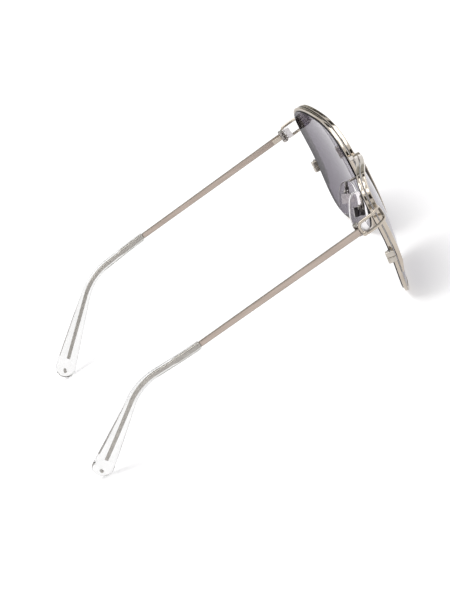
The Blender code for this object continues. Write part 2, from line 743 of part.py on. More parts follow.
def make_temple_leaf(side_name, side, parent):
    """A tongue on the temple with the middle knuckle."""
    name = side_name + "_hinge_temple_leaf"
    half = HINGE_MIDDLE_HEIGHT / 2
    outer = leaf_face_x()
    plate = block(name, (side * (outer - LEAF_THICKNESS), 0, -half), (side * outer, TEMPLE_LEAF_LENGTH, half))
    item = make_piece(name, plate, metal, parent)
    combine(item, knuckle_cutter(name, half, parent), "UNION")
    cut_pin_bore(item, name, parent)


def temple_length():
    """Length along the temple at which its tip just reaches the floor."""
    drop = math.radians(TEMPLE_BEND_DEGREES + TEMPLE_SLOPE_DEGREES)
    paddle_half = TIP_PADDLE_WIDTH / 2
    end_drop = TIP_PADDLE_END * math.sin(drop)
    end_reach = math.hypot(end_drop, paddle_half * math.cos(drop)) - end_drop
    bend_end = TEMPLE_BEND_START + TEMPLE_BEND_RADIUS * math.radians(TEMPLE_BEND_DEGREES)
    _, y, z = elevation(np.array([bend_end]))
    slope = math.radians(TEMPLE_SLOPE_DEGREES)
    height = front_height + HINGE_ABOVE_CENTRE - y[0] * math.sin(slope) + z[0] * math.cos(slope)
    return bend_end + (height - end_reach) / math.sin(drop)


def elevation(run):
    """Fall angle and side-view position of the temple's centre line: straight, an arc, straight."""
    limit = math.radians(TEMPLE_BEND_DEGREES)
    angle = np.clip((run - TEMPLE_BEND_START) / TEMPLE_BEND_RADIUS, 0, limit)
    before = np.minimum(run, TEMPLE_BEND_START)
    beyond = np.maximum(run - TEMPLE_BEND_START - TEMPLE_BEND_RADIUS * limit, 0)
    y = before + TEMPLE_BEND_RADIUS * np.sin(angle) + beyond * np.cos(angle)
    z = -TEMPLE_BEND_RADIUS * (1 - np.cos(angle)) - beyond * np.sin(angle)
    return angle, y, z


def temple_x(run):
    """Distance outside the hinge axis: a slight lean inward, then a curve toward the ear."""
    progress = np.clip((run - TOE_IN_START) / (temple_run - TOE_IN_START), 0, None)
    lean = np.maximum(run - TEMPLE_LEAF_LENGTH, 0) * math.tan(math.radians(TEMPLE_LEAN_DEGREES))
    return temple_centre_x - lean - TOE_IN * progress ** TOE_IN_POWER


def temple_rings(run, section_x, section_z, side):
    """Sections across the temple at each run: x through its thickness, z through its height."""
    angle, y, z = elevation(run)
    x = temple_x(run)
    up_y, up_z = np.sin(angle), np.cos(angle)
    ring_x = side * (x[:, None] + section_x)
    ring_y = y[:, None] + up_y[:, None] * section_z
    ring_z = z[:, None] + up_z[:, None] * section_z
    return np.stack([ring_x, ring_y, ring_z], axis=-1)


def core_sizes(run):
    """Height and thickness of the metal: the strip, then the core wire's two widths."""
    shoulder = TEMPLE_METAL_LENGTH - SEAT_GAP
    step = TEMPLE_METAL_LENGTH + CORE_FRONT_LENGTH
    places = (0, shoulder, TEMPLE_METAL_LENGTH, step, step + CORE_STEP_LENGTH)
    heights = (TEMPLE_FRONT_HEIGHT, TEMPLE_REAR_HEIGHT, CORE_FRONT_HEIGHT, CORE_FRONT_HEIGHT,
               CORE_REAR_HEIGHT)
    thicknesses = (TEMPLE_THICKNESS, TEMPLE_THICKNESS, CORE_THICKNESS, CORE_THICKNESS, CORE_THICKNESS)
    return np.interp(run, places, heights), np.interp(run, places, thicknesses)


def strip_rings(run, side):
    """Rectangles with cut corners, in the metal's height and thickness at each run."""
    height, thickness = core_sizes(run)
    corner_x = np.array((1, 1, 1, -1, -1, -1, -1, 1))
    corner_z = np.array((-1, 1, 1, 1, 1, -1, -1, -1))
    inset_x = np.array((0, 0, 1, 1, 0, 0, 1, 1)) * TEMPLE_EDGE
    inset_z = np.array((1, 1, 0, 0, 1, 1, 0, 0)) * TEMPLE_EDGE
    section_x = corner_x * (thickness[:, None] / 2 - inset_x)
    section_z = corner_z * (height[:, None] / 2 - inset_z)
    return temple_rings(run, section_x, section_z, side)


def make_temple(side_name, side, parent):
    """Flat strip that narrows to the rear and goes on as a core wire inside the tip."""
    name = side_name + "_temple"
    bend_end = TEMPLE_BEND_START + TEMPLE_BEND_RADIUS * math.radians(TEMPLE_BEND_DEGREES)
    step = TEMPLE_METAL_LENGTH + CORE_FRONT_LENGTH
    end = temple_run - CORE_STOP
    run = np.unique(np.concatenate([
        [SEAT_GAP / 2, TEMPLE_LEAF_LENGTH, TOE_IN_START / 2],
        [TEMPLE_METAL_LENGTH - SEAT_GAP, TEMPLE_METAL_LENGTH],
        np.linspace(TEMPLE_BEND_START, bend_end, BEND_STATIONS), [step + CORE_STEP_LENGTH],
        np.linspace(bend_end, end, REAR_STATIONS)]))
    make_piece(name, skin(name, strip_rings(run, side)), metal, parent)


def make_temple_tip(side_name, side, parent):
    """Clear tip over the core wire, flat-sided and widening to a round-ended paddle."""
    name = side_name + "_temple_tip"
    bend_end = TEMPLE_BEND_START + TEMPLE_BEND_RADIUS * math.radians(TEMPLE_BEND_DEGREES)
    round_start = temple_run - TIP_PADDLE_END
    round_shares = np.sin(np.linspace(0, math.pi / 2, PADDLE_STATIONS)[:-1])
    run = np.concatenate([[TEMPLE_METAL_LENGTH, TEMPLE_METAL_LENGTH + TIP_FRONT_ROUNDING],
                          np.linspace(TEMPLE_BEND_START, bend_end, BEND_STATIONS),
                          np.linspace(bend_end, round_start, PADDLE_STATIONS)[1:-1],
                          round_start + TIP_PADDLE_END * round_shares])
    places = (TEMPLE_METAL_LENGTH + TIP_FRONT_ROUNDING, TEMPLE_BEND_START, bend_end, round_start)
    height = np.interp(run, places, (TIP_FRONT_HEIGHT, TIP_FRONT_HEIGHT, TIP_BEND_HEIGHT, TIP_PADDLE_WIDTH))
    thickness = np.interp(run, places, (TIP_FRONT_THICKNESS, TIP_THICKNESS, TIP_THICKNESS, TIP_THICKNESS))
    into_end = np.clip((run - round_start) / TIP_PADDLE_END, 0, 1)
    rounding = np.sqrt(1 - into_end ** 2)
    height = height * rounding
    thickness = thickness * np.sqrt(rounding)
    height[0] -= TIP_FRONT_ROUNDING / 2
    thickness[0] -= TIP_FRONT_ROUNDING / 2
    angles = np.arange(TIP_SECTION_POINTS) * 2 * math.pi / TIP_SECTION_POINTS
    unit_x, unit_z = superellipse(1, 1, TIP_ROUNDNESS, angles)
    section_x = thickness[:, None] / 2 * unit_x
    section_z = height[:, None] / 2 * unit_z
    rings = temple_rings(run, section_x, section_z, side)
    front_pole = rings[0].mean(axis=0)
    end_run = np.array([temple_run])
    _, end_y, end_z = elevation(end_run)
    end_pole = (side * temple_x(end_run)[0], end_y[0], end_z[0])
    item = make_piece(name, skin(name, rings, poles=(front_pole, end_pole)), acetate, parent)
    step = TEMPLE_METAL_LENGTH + CORE_FRONT_LENGTH
    channel_end = temple_run - CORE_STOP + CORE_CLEARANCE
    channel_run = np.unique(np.concatenate([
        [TEMPLE_METAL_LENGTH - SEAT_GAP / 2, step, step + CORE_STEP_LENGTH + CORE_CLEARANCE],
        np.linspace(TEMPLE_BEND_START, bend_end, BEND_STATIONS),
        np.linspace(bend_end, channel_end, REAR_STATIONS)]))
    channel = make_cutter(name + "_channel", channel_mesh(channel_run, side), parent)
    combine(item, channel, "DIFFERENCE")
    half = TIP_THICKNESS / 2 + CUT_OVERRUN
    hole = cylinder("hole", STUD_RADIUS + SEAT_GAP, -half, half, SMALL_ROUND_STEPS)
    cutter = put_at(make_cutter(name + "_stud_hole", hole, parent), stud_place(side), along_x())
    combine(item, cutter, "DIFFERENCE")


def channel_mesh(run, side):
    """The core wire's channel: the wire's own sizes and a clearance all round."""
    height, _ = core_sizes(np.maximum(run, TEMPLE_METAL_LENGTH))
    half_x = np.full((len(run), 1), CORE_THICKNESS / 2 + CORE_CLEARANCE)
    half_z = height[:, None] / 2 + CORE_CLEARANCE
    corner_x, corner_z = np.array((1, 1, -1, -1)), np.array((-1, 1, 1, -1))
    return skin("channel", temple_rings(run, half_x * corner_x, half_z * corner_z, side))


def stud_place(side):
    """The middle of the stud: on the paddle's centre line, near its end."""
    run = np.array([temple_run - STUD_FROM_END])
    _, y, z = elevation(run)
    return side * temple_x(run)[0], y[0], z[0]


def make_tip_stud(side_name, side, parent):
    """A short pin through the paddle, a little below its faces."""
    name = side_name + "_tip_stud"
    half = (TIP_THICKNESS - STUD_INSET) / 2
    item = make_piece(name, cylinder(name, STUD_RADIUS, -half, half, SMALL_ROUND_STEPS), metal, parent)
    put_at(item, stud_place(side), along_x())


def pad_turn(side):
    turn = side * math.radians(PAD_TURN_DEGREES)
    flare, lean = math.radians(PAD_FLARE_DEGREES), math.radians(PAD_LEAN_DEGREES)
    return turn_x(lean) @ turn_z(turn) @ turn_x(-flare)


def pad_pivot(side):
    return np.array([side * PAD_PIVOT_OFFSET, PAD_PIVOT_SETBACK, front_height - PAD_PIVOT_BELOW_CENTRE])


def make_nose_pad(side_name, parent):
    """A soft pad with a flat back, a crowned face and a wider lower end."""
    angles = np.arange(PAD_POINTS) * 2 * math.pi / PAD_POINTS
    x, z = superellipse(PAD_WIDTH / 2, PAD_HEIGHT / 2, PAD_SQUARENESS, angles)
    x = x * (1 - PAD_TAPER_SHARE * z / PAD_HEIGHT * 2)
    back = PLATE_STANDOFF + PLATE_THICKNESS + SEAT_GAP
    rings = [np.stack([x * width, np.full_like(x, back + PAD_THICKNESS * depth), z * width], axis=-1)
             for depth, width in PAD_RING_SHARES]
    rings = np.array(rings) - (0, 0, PAD_DROP)
    name = side_name + "_nose_pad"
    poles = ((0, back, -PAD_DROP), (0, back + PAD_THICKNESS, -PAD_DROP))
    make_piece(name, skin(name, rings, poles=poles), silicone, parent)


def make_pad_plate(side_name, parent):
    """A ribbed plate behind the pad, with the eye that the cross screw passes through."""
    name = side_name + "_pad_plate"
    half_width, half_height, half_eye = PLATE_WIDTH / 2, PLATE_HEIGHT / 2, EYE_THICKNESS / 2
    low, high = -half_height - PLATE_DROP, half_height - PLATE_DROP
    item = make_piece(name, block(name, (-half_width, PLATE_STANDOFF, low),
                                  (half_width, PLATE_STANDOFF + PLATE_THICKNESS, high)), ribbed, parent)
    join_depth = PLATE_STANDOFF + PLATE_THICKNESS / 2
    for direction in (-1, 1):
        for index in range(RIB_COUNT):
            middle = direction * (half_width - RIB_MARGIN - RIB_WIDTH / 2 - index * RIB_SPACING)
            rib = block("rib", (middle - RIB_WIDTH / 2, PLATE_STANDOFF - RIB_HEIGHT, low + RIB_WIDTH),
                        (middle + RIB_WIDTH / 2, join_depth, high - RIB_WIDTH))
            combine(item, make_cutter(name + "_rib", rib, parent), "UNION")
    neck = block("neck", (-half_eye, 0, -EYE_RADIUS * math.cos(math.pi / 4)),
                 (half_eye, join_depth, EYE_RADIUS * math.cos(math.pi / 4)))
    combine(item, make_cutter(name + "_neck", neck, parent), "UNION")
    eye = make_cutter(name + "_eye", cylinder("eye", EYE_RADIUS, -half_eye, half_eye), parent)
    combine(item, put_at(eye, (0, 0, 0), along_x()), "UNION")
    combine(item, pad_bore(name, parent), "DIFFERENCE")


def pad_bore(label, parent):
    reach = EYE_THICKNESS / 2 + BOX_SIDE_GAP + BOX_WALL + CUT_OVERRUN
    bore = cylinder("bore", PAD_SCREW_RADIUS + BORE_CLEARANCE, -reach, reach)
    return put_at(make_cutter(label + "_bore", bore, parent), (0, 0, 0), along_x())


def make_pad_box(side_name, parent):
    """A small channel that holds the eye between its two walls."""
    name = side_name + "_pad_box"
    inner = EYE_THICKNESS / 2 + BOX_SIDE_GAP
    outer = inner + BOX_WALL
    half = BOX_HEIGHT / 2
    back = BOX_FRONT - BOX_DEPTH
    item = make_piece(name, block(name, (-outer, back, -half), (outer, BOX_FRONT, half)), metal, parent)
    reach = half + CUT_OVERRUN
    slot = block("slot", (-inner, back + BOX_WALL, -reach), (inner, BOX_FRONT + CUT_OVERRUN, reach))
    combine(item, make_cutter(name + "_slot", slot, parent), "DIFFERENCE")
    combine(item, pad_bore(name, parent), "DIFFERENCE")


def make_pad_screw(side_name, side, parent):
    outer = EYE_THICKNESS / 2 + BOX_SIDE_GAP + BOX_WALL
    head = outer + SCREW_GAP
    stations = ((-outer, PAD_SCREW_RADIUS), (head, PAD_SCREW_RADIUS), (head, PAD_SCREW_HEAD_RADIUS),
                (head + PAD_SCREW_HEAD_HEIGHT, PAD_SCREW_HEAD_RADIUS))
    screw = make_turned_piece(side_name + "_pad_screw", stations, metal, parent)
    put_at(screw, (0, 0, 0), along_x(side))


def make_pad_arm(side_name, side, parent):
    """A wire that leaves the rear of the eyewire, drops beside the rim and comes in behind the box."""
    arc = outline.arc_at_height(ARM_ROOT_ABOVE_CENTRE, False)
    root = rim_point(side, arc, EYEWIRE_OUTER - ARM_RADIUS, -EYEWIRE_SETBACK + SEAT_GAP)
    rearward = np.array([0, 1, 0])
    turn = pad_turn(side)
    away = -turn[:, 1]
    seat = pad_pivot(side) + away * (BOX_DEPTH - BOX_FRONT + SEAT_GAP)
    behind = seat + away * ARM_BULGE * ARM_BEHIND_SHARE
    out = root + rearward * ARM_REACH
    outward = np.array([side, 0, 0])
    crest = out + outward * ARM_BULGE * ARM_CREST_SHARE + rearward * ARM_RADIUS
    drop = (crest + behind) / 2 + away * ARM_BULGE * ARM_DROP_SHARE
    curve = bpy.data.curves.new(side_name + "_pad_arm", "CURVE")
    curve.dimensions = "3D"
    curve.bevel_depth = ARM_RADIUS
    curve.bevel_resolution = 1
    curve.resolution_u = 4
    curve.use_fill_caps = True
    points = (root, out, crest, drop, behind, seat)
    spline = curve.splines.new("NURBS")
    spline.points.add(len(points) - 1)
    for place, point in zip(spline.points, points):
        place.co = (*point, 1.0)
    spline.order_u = 4
    spline.use_endpoint_u = True
    item = bpy.data.objects.new(side_name + "_pad_arm", curve)
    parts.objects.link(item)
    item.parent = parent
    curve.materials.append(metal)


def make_front_side(side_name, side):
    """Everything fixed to one rim, in the rim's own frame."""
    turn = (math.radians(FRONT_TILT_DEGREES), 0, side * math.radians(WRAP_DEGREES))
    rim = make_empty(side_name + "_rim_frame", rim_centre(side), turn, body)
    make_eyewire(side_name, side, rim)
    make_rim_trim(side_name, side, rim)
    make_lens(side_name, side, rim)
    make_rim_lock(side_name, side, rim)


def make_pad_side(side_name, side):
    lean = make_empty(side_name + "_pad_lean", pad_pivot(side), (math.radians(PAD_LEAN_DEGREES), 0, 0), body)
    turn = (-math.radians(PAD_FLARE_DEGREES), 0, side * math.radians(PAD_TURN_DEGREES))
    pivot = make_empty(side_name + "_pad_pivot", (0, 0, 0), turn, lean)
    make_nose_pad(side_name, pivot)
    make_pad_plate(side_name, pivot)
    make_pad_box(side_name, pivot)
    make_pad_screw(side_name, side, pivot)
    make_pad_arm(side_name, side, body)


def hinge_y():
    """The hinge's axis lies a set way behind the rim's outer side, at its own height."""
    arc = outline.arc_at_height(HINGE_ABOVE_CENTRE, True)
    return rim_point(1, arc, TRIM_OUTER, 0)[1] + HINGE_BEHIND_RIM


def make_temple_side(side_name, side):
    place = (side * hinge_x, hinge_y(), front_height + HINGE_ABOVE_CENTRE)
    hinge = make_empty(side_name + "_hinge_axis", place, (-math.radians(TEMPLE_SLOPE_DEGREES), 0, 0), body)
    make_end_piece(side_name, side, hinge)
    make_front_leaf(side_name, side, hinge)
    make_hinge_rivet(side_name, side, hinge)
    make_hinge_screw(side_name, hinge)
    make_temple_leaf(side_name, side, hinge)
    make_temple(side_name, side, hinge)
    make_temple_tip(side_name, side, hinge)
    make_tip_stud(side_name, side, hinge)


def rim_side_reach():
    """Outermost place of the trim where the end piece's front bar lies on it."""
    arcs = np.linspace(outline.arc_at_height(HINGE_ABOVE_CENTRE - LOOP_HEIGHT, True),
                       outline.arc_at_height(HINGE_ABOVE_CENTRE + LOOP_HEIGHT / 2, True), ROUND_STEPS)
    return max(rim_point(1, arc, TRIM_OUTER, rearward)[0] for arc in arcs
               for rearward in (-EYEWIRE_SETBACK, -EYEWIRE_SETBACK - EYEWIRE_DEPTH - SEAT_GAP - TRIM_DEPTH))


def centre_over_origin():
    """Move the whole so that the origin lies under the middle of its bounding box."""
    bpy.context.view_layer.update()
    depsgraph = bpy.context.evaluated_depsgraph_get()
    lengths = []
    for item in parts.objects:
        if item.type in {"MESH", "CURVE"}:
            solid = item.evaluated_get(depsgraph)
            lengths += [(solid.matrix_world @ vertex.co).y for vertex in solid.to_mesh().vertices]
            solid.to_mesh_clear()
    body.location.y = -(min(lengths) + max(lengths)) / 2


clear_scene()
parts = make_collection("Sunglasses")
cutters = make_collection("Cutters")
metal = silver_metal()
ribbed = dark_metal()
lens_material = tinted_lens()
acetate = clear_acetate()
silicone = clear_silicone()
outline = Outline()
front_height = -front_bottom()
loop_centre_x = leaf_face_x() + SEAT_GAP + LOOP_WIRE_THICKNESS / 2
temple_centre_x = leaf_face_x() + SEAT_GAP + TEMPLE_THICKNESS / 2
hinge_x = rim_side_reach() + SEAT_GAP - loop_inner_reach()
temple_run = temple_length()
body = make_empty("sunglasses_frame", (0, 0, 0), (0, 0, 0), None)
make_bridge(body)
for side_label, side_sign in SIDES.items():
    make_front_side(side_label, side_sign)
    make_pad_side(side_label, side_sign)
    make_temple_side(side_label, side_sign)
centre_over_origin()
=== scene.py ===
"""Finished look of a pair of metal-framed sunglasses, piece by piece, in the order of their assembly."""

import json
import math

import bmesh
import bpy
import numpy as np
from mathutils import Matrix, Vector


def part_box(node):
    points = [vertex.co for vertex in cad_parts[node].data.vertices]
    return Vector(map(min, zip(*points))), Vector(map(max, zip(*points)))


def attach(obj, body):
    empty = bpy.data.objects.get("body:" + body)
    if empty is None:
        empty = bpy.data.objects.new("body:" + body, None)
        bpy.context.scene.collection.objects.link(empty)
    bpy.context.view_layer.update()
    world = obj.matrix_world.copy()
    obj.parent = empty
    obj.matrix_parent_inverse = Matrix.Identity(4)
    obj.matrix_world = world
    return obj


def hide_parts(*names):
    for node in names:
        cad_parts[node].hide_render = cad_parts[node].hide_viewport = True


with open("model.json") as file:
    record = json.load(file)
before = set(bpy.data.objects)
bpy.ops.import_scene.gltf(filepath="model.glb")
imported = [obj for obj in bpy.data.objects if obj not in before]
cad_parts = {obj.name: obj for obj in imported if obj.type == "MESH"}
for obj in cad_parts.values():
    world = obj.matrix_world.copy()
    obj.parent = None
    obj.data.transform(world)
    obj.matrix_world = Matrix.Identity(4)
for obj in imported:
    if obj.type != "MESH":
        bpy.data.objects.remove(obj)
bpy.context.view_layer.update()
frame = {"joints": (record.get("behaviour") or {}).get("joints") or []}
joints = {joint["name"]: joint for joint in frame["joints"]}
SIDES = {"left": 1, "right": -1}

# The rims
# Each rim is a drawn nickel-silver wire with a V groove on its inner side, which holds the bevel of the
# lens. It is bent to the outline of the lens, cut on its outer side for the rim lock, polished and plated.
LENS_WIDTH = 0.0560
LENS_HEIGHT = 0.0522
LENS_CURVE = 0.132
LENS_SQUARENESS = 3.48
OUTER_TAPER_SHARE = 0.14
NASAL_TAPER_SHARE = 0.12
BROW_RISE = 0.0039
NOSE_GAP = 0.0180
WRAP = math.radians(8.5)
TILT = math.radians(5.5)
PAD_BEHIND_RIM = 0.00415
PAD_BELOW_MIDDLE = 0.0003
RIM_SETBACK = 0.0006
RIM_DEPTH = 0.0015
RIM_OUTER = 0.0010
RIM_INNER = 0.0005
RIM_CROWN = 0.00004
RIM_ROUNDING = 0.00028
GROOVE_DEPTH = 0.0008
GROOVE_WIDTH = 0.0010
LOCK_BELOW_MIDDLE = 0.0034
LOCK_SPLIT = 0.00006
RIM_STATIONS = 900
GROOVE_SHADE_REACH = 0.0002
GROOVE_SHADE_FADE_POWER = 0.6
INNER_WALL_SHARE = 0.8
INNER_SHADE = 0.75
TONE_SPAN = (0.3, 0.7)
OUTLINE_SAMPLES = 6000


def around(count):
    """Angles of points spread evenly round a circle."""
    return np.arange(count) * 2 * math.pi / count


def squared_circle(count, squareness):
    """Points of a circle pushed toward its square: each coordinate is raised to 2 over the squareness."""
    cosine, sine = np.cos(around(count)), np.sin(around(count))
    power = 2 / squareness
    return np.sign(cosine) * np.abs(cosine) ** power, np.sign(sine) * np.abs(sine) ** power


def outline_points():
    """The lens outline: a rounded square, narrower at the bottom, with its outer half raised at the top.

    The taper takes a share of the width that grows downward, and the rise grows both outward and upward.
    """
    half_width, half_height = LENS_WIDTH / 2, LENS_HEIGHT / 2
    across, upward = squared_circle(OUTLINE_SAMPLES, LENS_SQUARENESS)
    u, v = half_width * across, half_height * upward
    u = u * (1 - np.where(u > 0, OUTER_TAPER_SHARE, NASAL_TAPER_SHARE) * (1 - v / half_height) / 2)
    v = v + BROW_RISE * (u / half_width) * (1 + v / half_height) / 2
    return u, v


outline_u, outline_v = outline_points()
outline_step = np.hypot(np.diff(outline_u, append=outline_u[0]), np.diff(outline_v, append=outline_v[0]))
outline_arc = np.concatenate([[0.0], np.cumsum(outline_step)])
OUTLINE_LENGTH = outline_arc[-1]


def outline_at(arc):
    """Point and outward normal at distances along the outline, between its nearest samples."""
    wrapped = np.mod(arc, OUTLINE_LENGTH)
    du = np.roll(outline_u, -1) - np.roll(outline_u, 1)
    dv = np.roll(outline_v, -1) - np.roll(outline_v, 1)
    rows = (outline_u, outline_v, dv, -du)
    u, v, normal_u, normal_v = (np.interp(wrapped, outline_arc, np.append(row, row[0])) for row in rows)
    length = np.hypot(normal_u, normal_v)
    return u, v, normal_u / length, normal_v / length


def arc_at_height(height, outer):
    """Distance along the outline at which its outer or nasal side passes a height."""
    miss = np.where((outline_u > 0) == outer, np.abs(outline_v - height), OUTLINE_LENGTH)
    return outline_arc[int(np.argmin(miss))]


def lens_fall(u, v):
    """How far the lens's rear face falls back from its middle: the height of a sphere's cap."""
    return LENS_CURVE - np.sqrt(LENS_CURVE ** 2 - u ** 2 - v ** 2)


def about_x(angle):
    """Rotation about the sideways axis."""
    c, s = math.cos(angle), math.sin(angle)
    return np.array([(1, 0, 0), (0, c, -s), (0, s, c)])


def about_z(angle):
    """Rotation about the vertical axis."""
    c, s = math.cos(angle), math.sin(angle)
    return np.array([(c, -s, 0), (s, c, 0), (0, 0, 1)])


def rim_turn(side):
    """Rotation of a rim: tilted about the sideways axis, then wrapped about the vertical."""
    return about_z(side * WRAP) @ about_x(TILT)


def rim_to_world(points, side_name):
    """Points of a rim's own frame (outward as +X on the left, rearward, up) placed on the frame."""
    side = SIDES[side_name]
    _, pad_y, pad_z = joints[side_name + "_pad_rock"]["pos_m"]
    middle = (side * (NOSE_GAP + LENS_WIDTH) / 2, pad_y - PAD_BEHIND_RIM, pad_z + PAD_BELOW_MIDDLE)
    return points @ rim_turn(side).T + middle


def along_rim(arc, section, side_name):
    """A section of (outward, rearward) points carried along the outline, one ring for each distance."""
    u, v, normal_u, normal_v = (row[:, None] for row in outline_at(arc))
    outward, rearward = section[..., 0], section[..., 1]
    x = SIDES[side_name] * (u + normal_u * outward)
    rings = np.stack(np.broadcast_arrays(x, lens_fall(u, v) + rearward, v + normal_v * outward), axis=-1)
    return rim_to_world(rings, side_name)


def soften(corners, reach, steps=5):
    """Each corner of a closed section becomes a parabola that touches both sides, a reach from the corner."""
    corners = np.asarray(corners, dtype=float)
    before, after = np.roll(corners, 1, axis=0) - corners, np.roll(corners, -1, axis=0) - corners
    reach = np.broadcast_to(reach, len(corners))[:, None]
    start = corners + before / np.linalg.norm(before, axis=1, keepdims=True) * reach
    end = corners + after / np.linalg.norm(after, axis=1, keepdims=True) * reach
    t = np.linspace(0, 1, steps)[None, :, None]
    curve = (1 - t) ** 2 * start[:, None] + 2 * t * (1 - t) * corners[:, None] + t ** 2 * end[:, None]
    return curve.reshape(-1, 2)


def soft_bar(width, height, rounding, steps):
    """Section of a flat bar about its own middle, with soft corners."""
    return soften(np.array([(-1, -1), (1, -1), (1, 1), (-1, 1)]) * (width / 2, height / 2), rounding, steps)


def ring_faces(ring_count, size, closed):
    """Quads between each ring of points and the next, as whole index arrays."""
    near = np.arange(ring_count if closed else ring_count - 1)[:, None] * size
    far = (near + size) % (ring_count * size)
    here, after = np.arange(size)[None], (np.arange(size)[None] + 1) % size
    quads = np.stack(np.broadcast_arrays(near + here, near + after, far + after, far + here), axis=-1)
    return quads.reshape(-1, 4)


def make_piece(name, surfaces, materials, node, body="front", sharp=35.0,
               flatten=False):
    """One piece, in place of a CAD node, from surfaces of (rings, end) or (rings, end, material's number).

    A closed surface joins its last ring to its first. A flat or pole one has a face or a point at both ends.
    """
    points, faces, shades, start = [], [], [], 0
    for rings, end, *shade in surfaces:
        count, size, _ = rings.shape
        points.append(rings.reshape(-1, 3))
        faces += (ring_faces(count, size, end == "closed") + start).tolist()
        last = start + (count - 1) * size
        if end == "flat":
            faces += [list(range(start, start + size)), list(range(last, last + size))]
        start += count * size
        if end == "pole":
            points.append(np.stack([rings[0].mean(axis=0), rings[-1].mean(axis=0)]))
            here, after = np.arange(size), (np.arange(size) + 1) % size
            for pole, first in ((start, start - count * size), (start + 1, last)):
                faces += np.stack([np.full(size, pole), first + here, first + after], axis=-1).tolist()
            start += 2
        shades += (shade or [0]) * (len(faces) - len(shades))
    mesh = bpy.data.meshes.new(name)
    mesh.from_pydata(np.concatenate(points).tolist(), [], faces)
    for material in np.atleast_1d(materials):
        mesh.materials.append(material)
    mesh.polygons.foreach_set("material_index", np.array(shades, dtype=np.int32))
    shape = bmesh.new()
    shape.from_mesh(mesh)
    bmesh.ops.recalc_face_normals(shape, faces=shape.faces)
    shape.to_mesh(mesh)
    shape.free()
    mesh.shade_smooth()
    mesh.set_sharp_from_angle(angle=math.radians(sharp))
    item = bpy.data.objects.new(name, mesh)
    bpy.context.scene.collection.objects.link(item)
    if flatten:
        item.modifiers.new("flat faces stay flat", "WEIGHTED_NORMAL").keep_sharp = True
    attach(item, body)
    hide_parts(node)
    return item


def finish_of(name, colour, roughness, metallic):
    """A material whose plain shader values stand on their own sockets."""
    material = bpy.data.materials.new(name)
    material.use_nodes = True
    shader = material.node_tree.nodes["Principled BSDF"]
    shader.inputs["Base Color"].default_value = (*colour, 1.0)
    shader.inputs["Roughness"].default_value = roughness
    shader.inputs["Metallic"].default_value = metallic
    return material


def grain(material, scale, stretch=(1, 1, 1), detail=3.0):
    """Noise in the object's own place, finer along an axis the larger its stretch."""
    tree = material.node_tree
    place = tree.nodes.new("ShaderNodeTexCoord")
    mapping = tree.nodes.new("ShaderNodeMapping")
    mapping.inputs["Scale"].default_value = stretch
    noise = tree.nodes.new("ShaderNodeTexNoise")
    noise.inputs["Scale"].default_value = scale
    noise.inputs["Detail"].default_value = detail
    tree.links.new(place.outputs["Object"], mapping.inputs["Vector"])
    tree.links.new(mapping.outputs["Vector"], noise.inputs["Vector"])
    return noise.outputs["Fac"]


def vary_colour(material, pattern, dark, light):
    """The base colour runs from dark to light with a pattern."""
    tree = material.node_tree
    ramp = tree.nodes.new("ShaderNodeValToRGB")
    for end, position, tone in zip(ramp.color_ramp.elements, TONE_SPAN, (dark, light)):
        end.position = position
        end.color = (*tone, 1.0)
    tree.links.new(pattern, ramp.inputs["Fac"])
    tree.links.new(ramp.outputs["Color"], tree.nodes["Principled BSDF"].inputs["Base Color"])


def vary_roughness(material, pattern, smooth, rough):
    """The roughness runs between two values with a pattern."""
    tree = material.node_tree
    spread = tree.nodes.new("ShaderNodeMapRange")
    spread.inputs["To Min"].default_value = smooth
    spread.inputs["To Max"].default_value = rough
    tree.links.new(pattern, spread.inputs["Value"])
    tree.links.new(spread.outputs["Result"], tree.nodes["Principled BSDF"].inputs["Roughness"])


def raise_surface(material, pattern, height, strength=1.0):
    """A pattern stands up from the surface by a height in metres."""
    tree = material.node_tree
    bump = tree.nodes.new("ShaderNodeBump")
    bump.inputs["Distance"].default_value = height
    bump.inputs["Strength"].default_value = strength
    tree.links.new(pattern, bump.inputs["Height"])
    tree.links.new(bump.outputs["Normal"], tree.nodes["Principled BSDF"].inputs["Normal"])


def age(material, scales, tones, hazes, height, stretches=((1, 1, 1),) * 3):
    """Three grains: one runs the colour between two tones, one the roughness, and one raises the surface."""
    tone_grain, haze_grain, height_grain = (grain(material, *pair) for pair in zip(scales, stretches))
    vary_colour(material, tone_grain, *tones)
    vary_roughness(material, haze_grain, *hazes)
    raise_surface(material, height_grain, height)
    return material


def darken_where(material, mark, dark):
    """Painted shade: the base colour turns dark where a mark on the mesh's points rises from 0 to 1."""
    tree = material.node_tree
    colour = tree.nodes["Principled BSDF"].inputs["Base Color"]
    marked = tree.nodes.new("ShaderNodeAttribute")
    marked.attribute_name = mark
    blend = tree.nodes.new("ShaderNodeMixRGB")
    blend.inputs["Color2"].default_value = (*dark, 1.0)
    tree.links.new(marked.outputs["Fac"], blend.inputs["Fac"])
    tree.links.new(colour.links[0].from_socket, blend.inputs["Color1"])
    tree.links.new(blend.outputs["Color"], colour)


def mark_points(item, mark, values):
    """Writes one value for each point of a piece's mesh, under the mark's name."""
    attribute = item.data.attributes.new(mark, "FLOAT", "POINT")
    attribute.data.foreach_set("value", np.asarray(values, dtype=np.float32))


def polished_plating():
    """Warm silver plating over polished metal: faint tones, polishing haze, ripple, painted groove shade."""
    material = finish_of("polished_plating", (0.50, 0.445, 0.38), 0.12, 1.0)
    vary_colour(material, grain(material, 160), (0.46, 0.405, 0.345), (0.545, 0.49, 0.42))
    darken_where(material, "painted_groove_shade", (0.035, 0.03, 0.025))
    vary_roughness(material, grain(material, 240), 0.07, 0.13)
    raise_surface(material, grain(material, 420, detail=2.0), 0.000002)
    return material


plating = polished_plating()

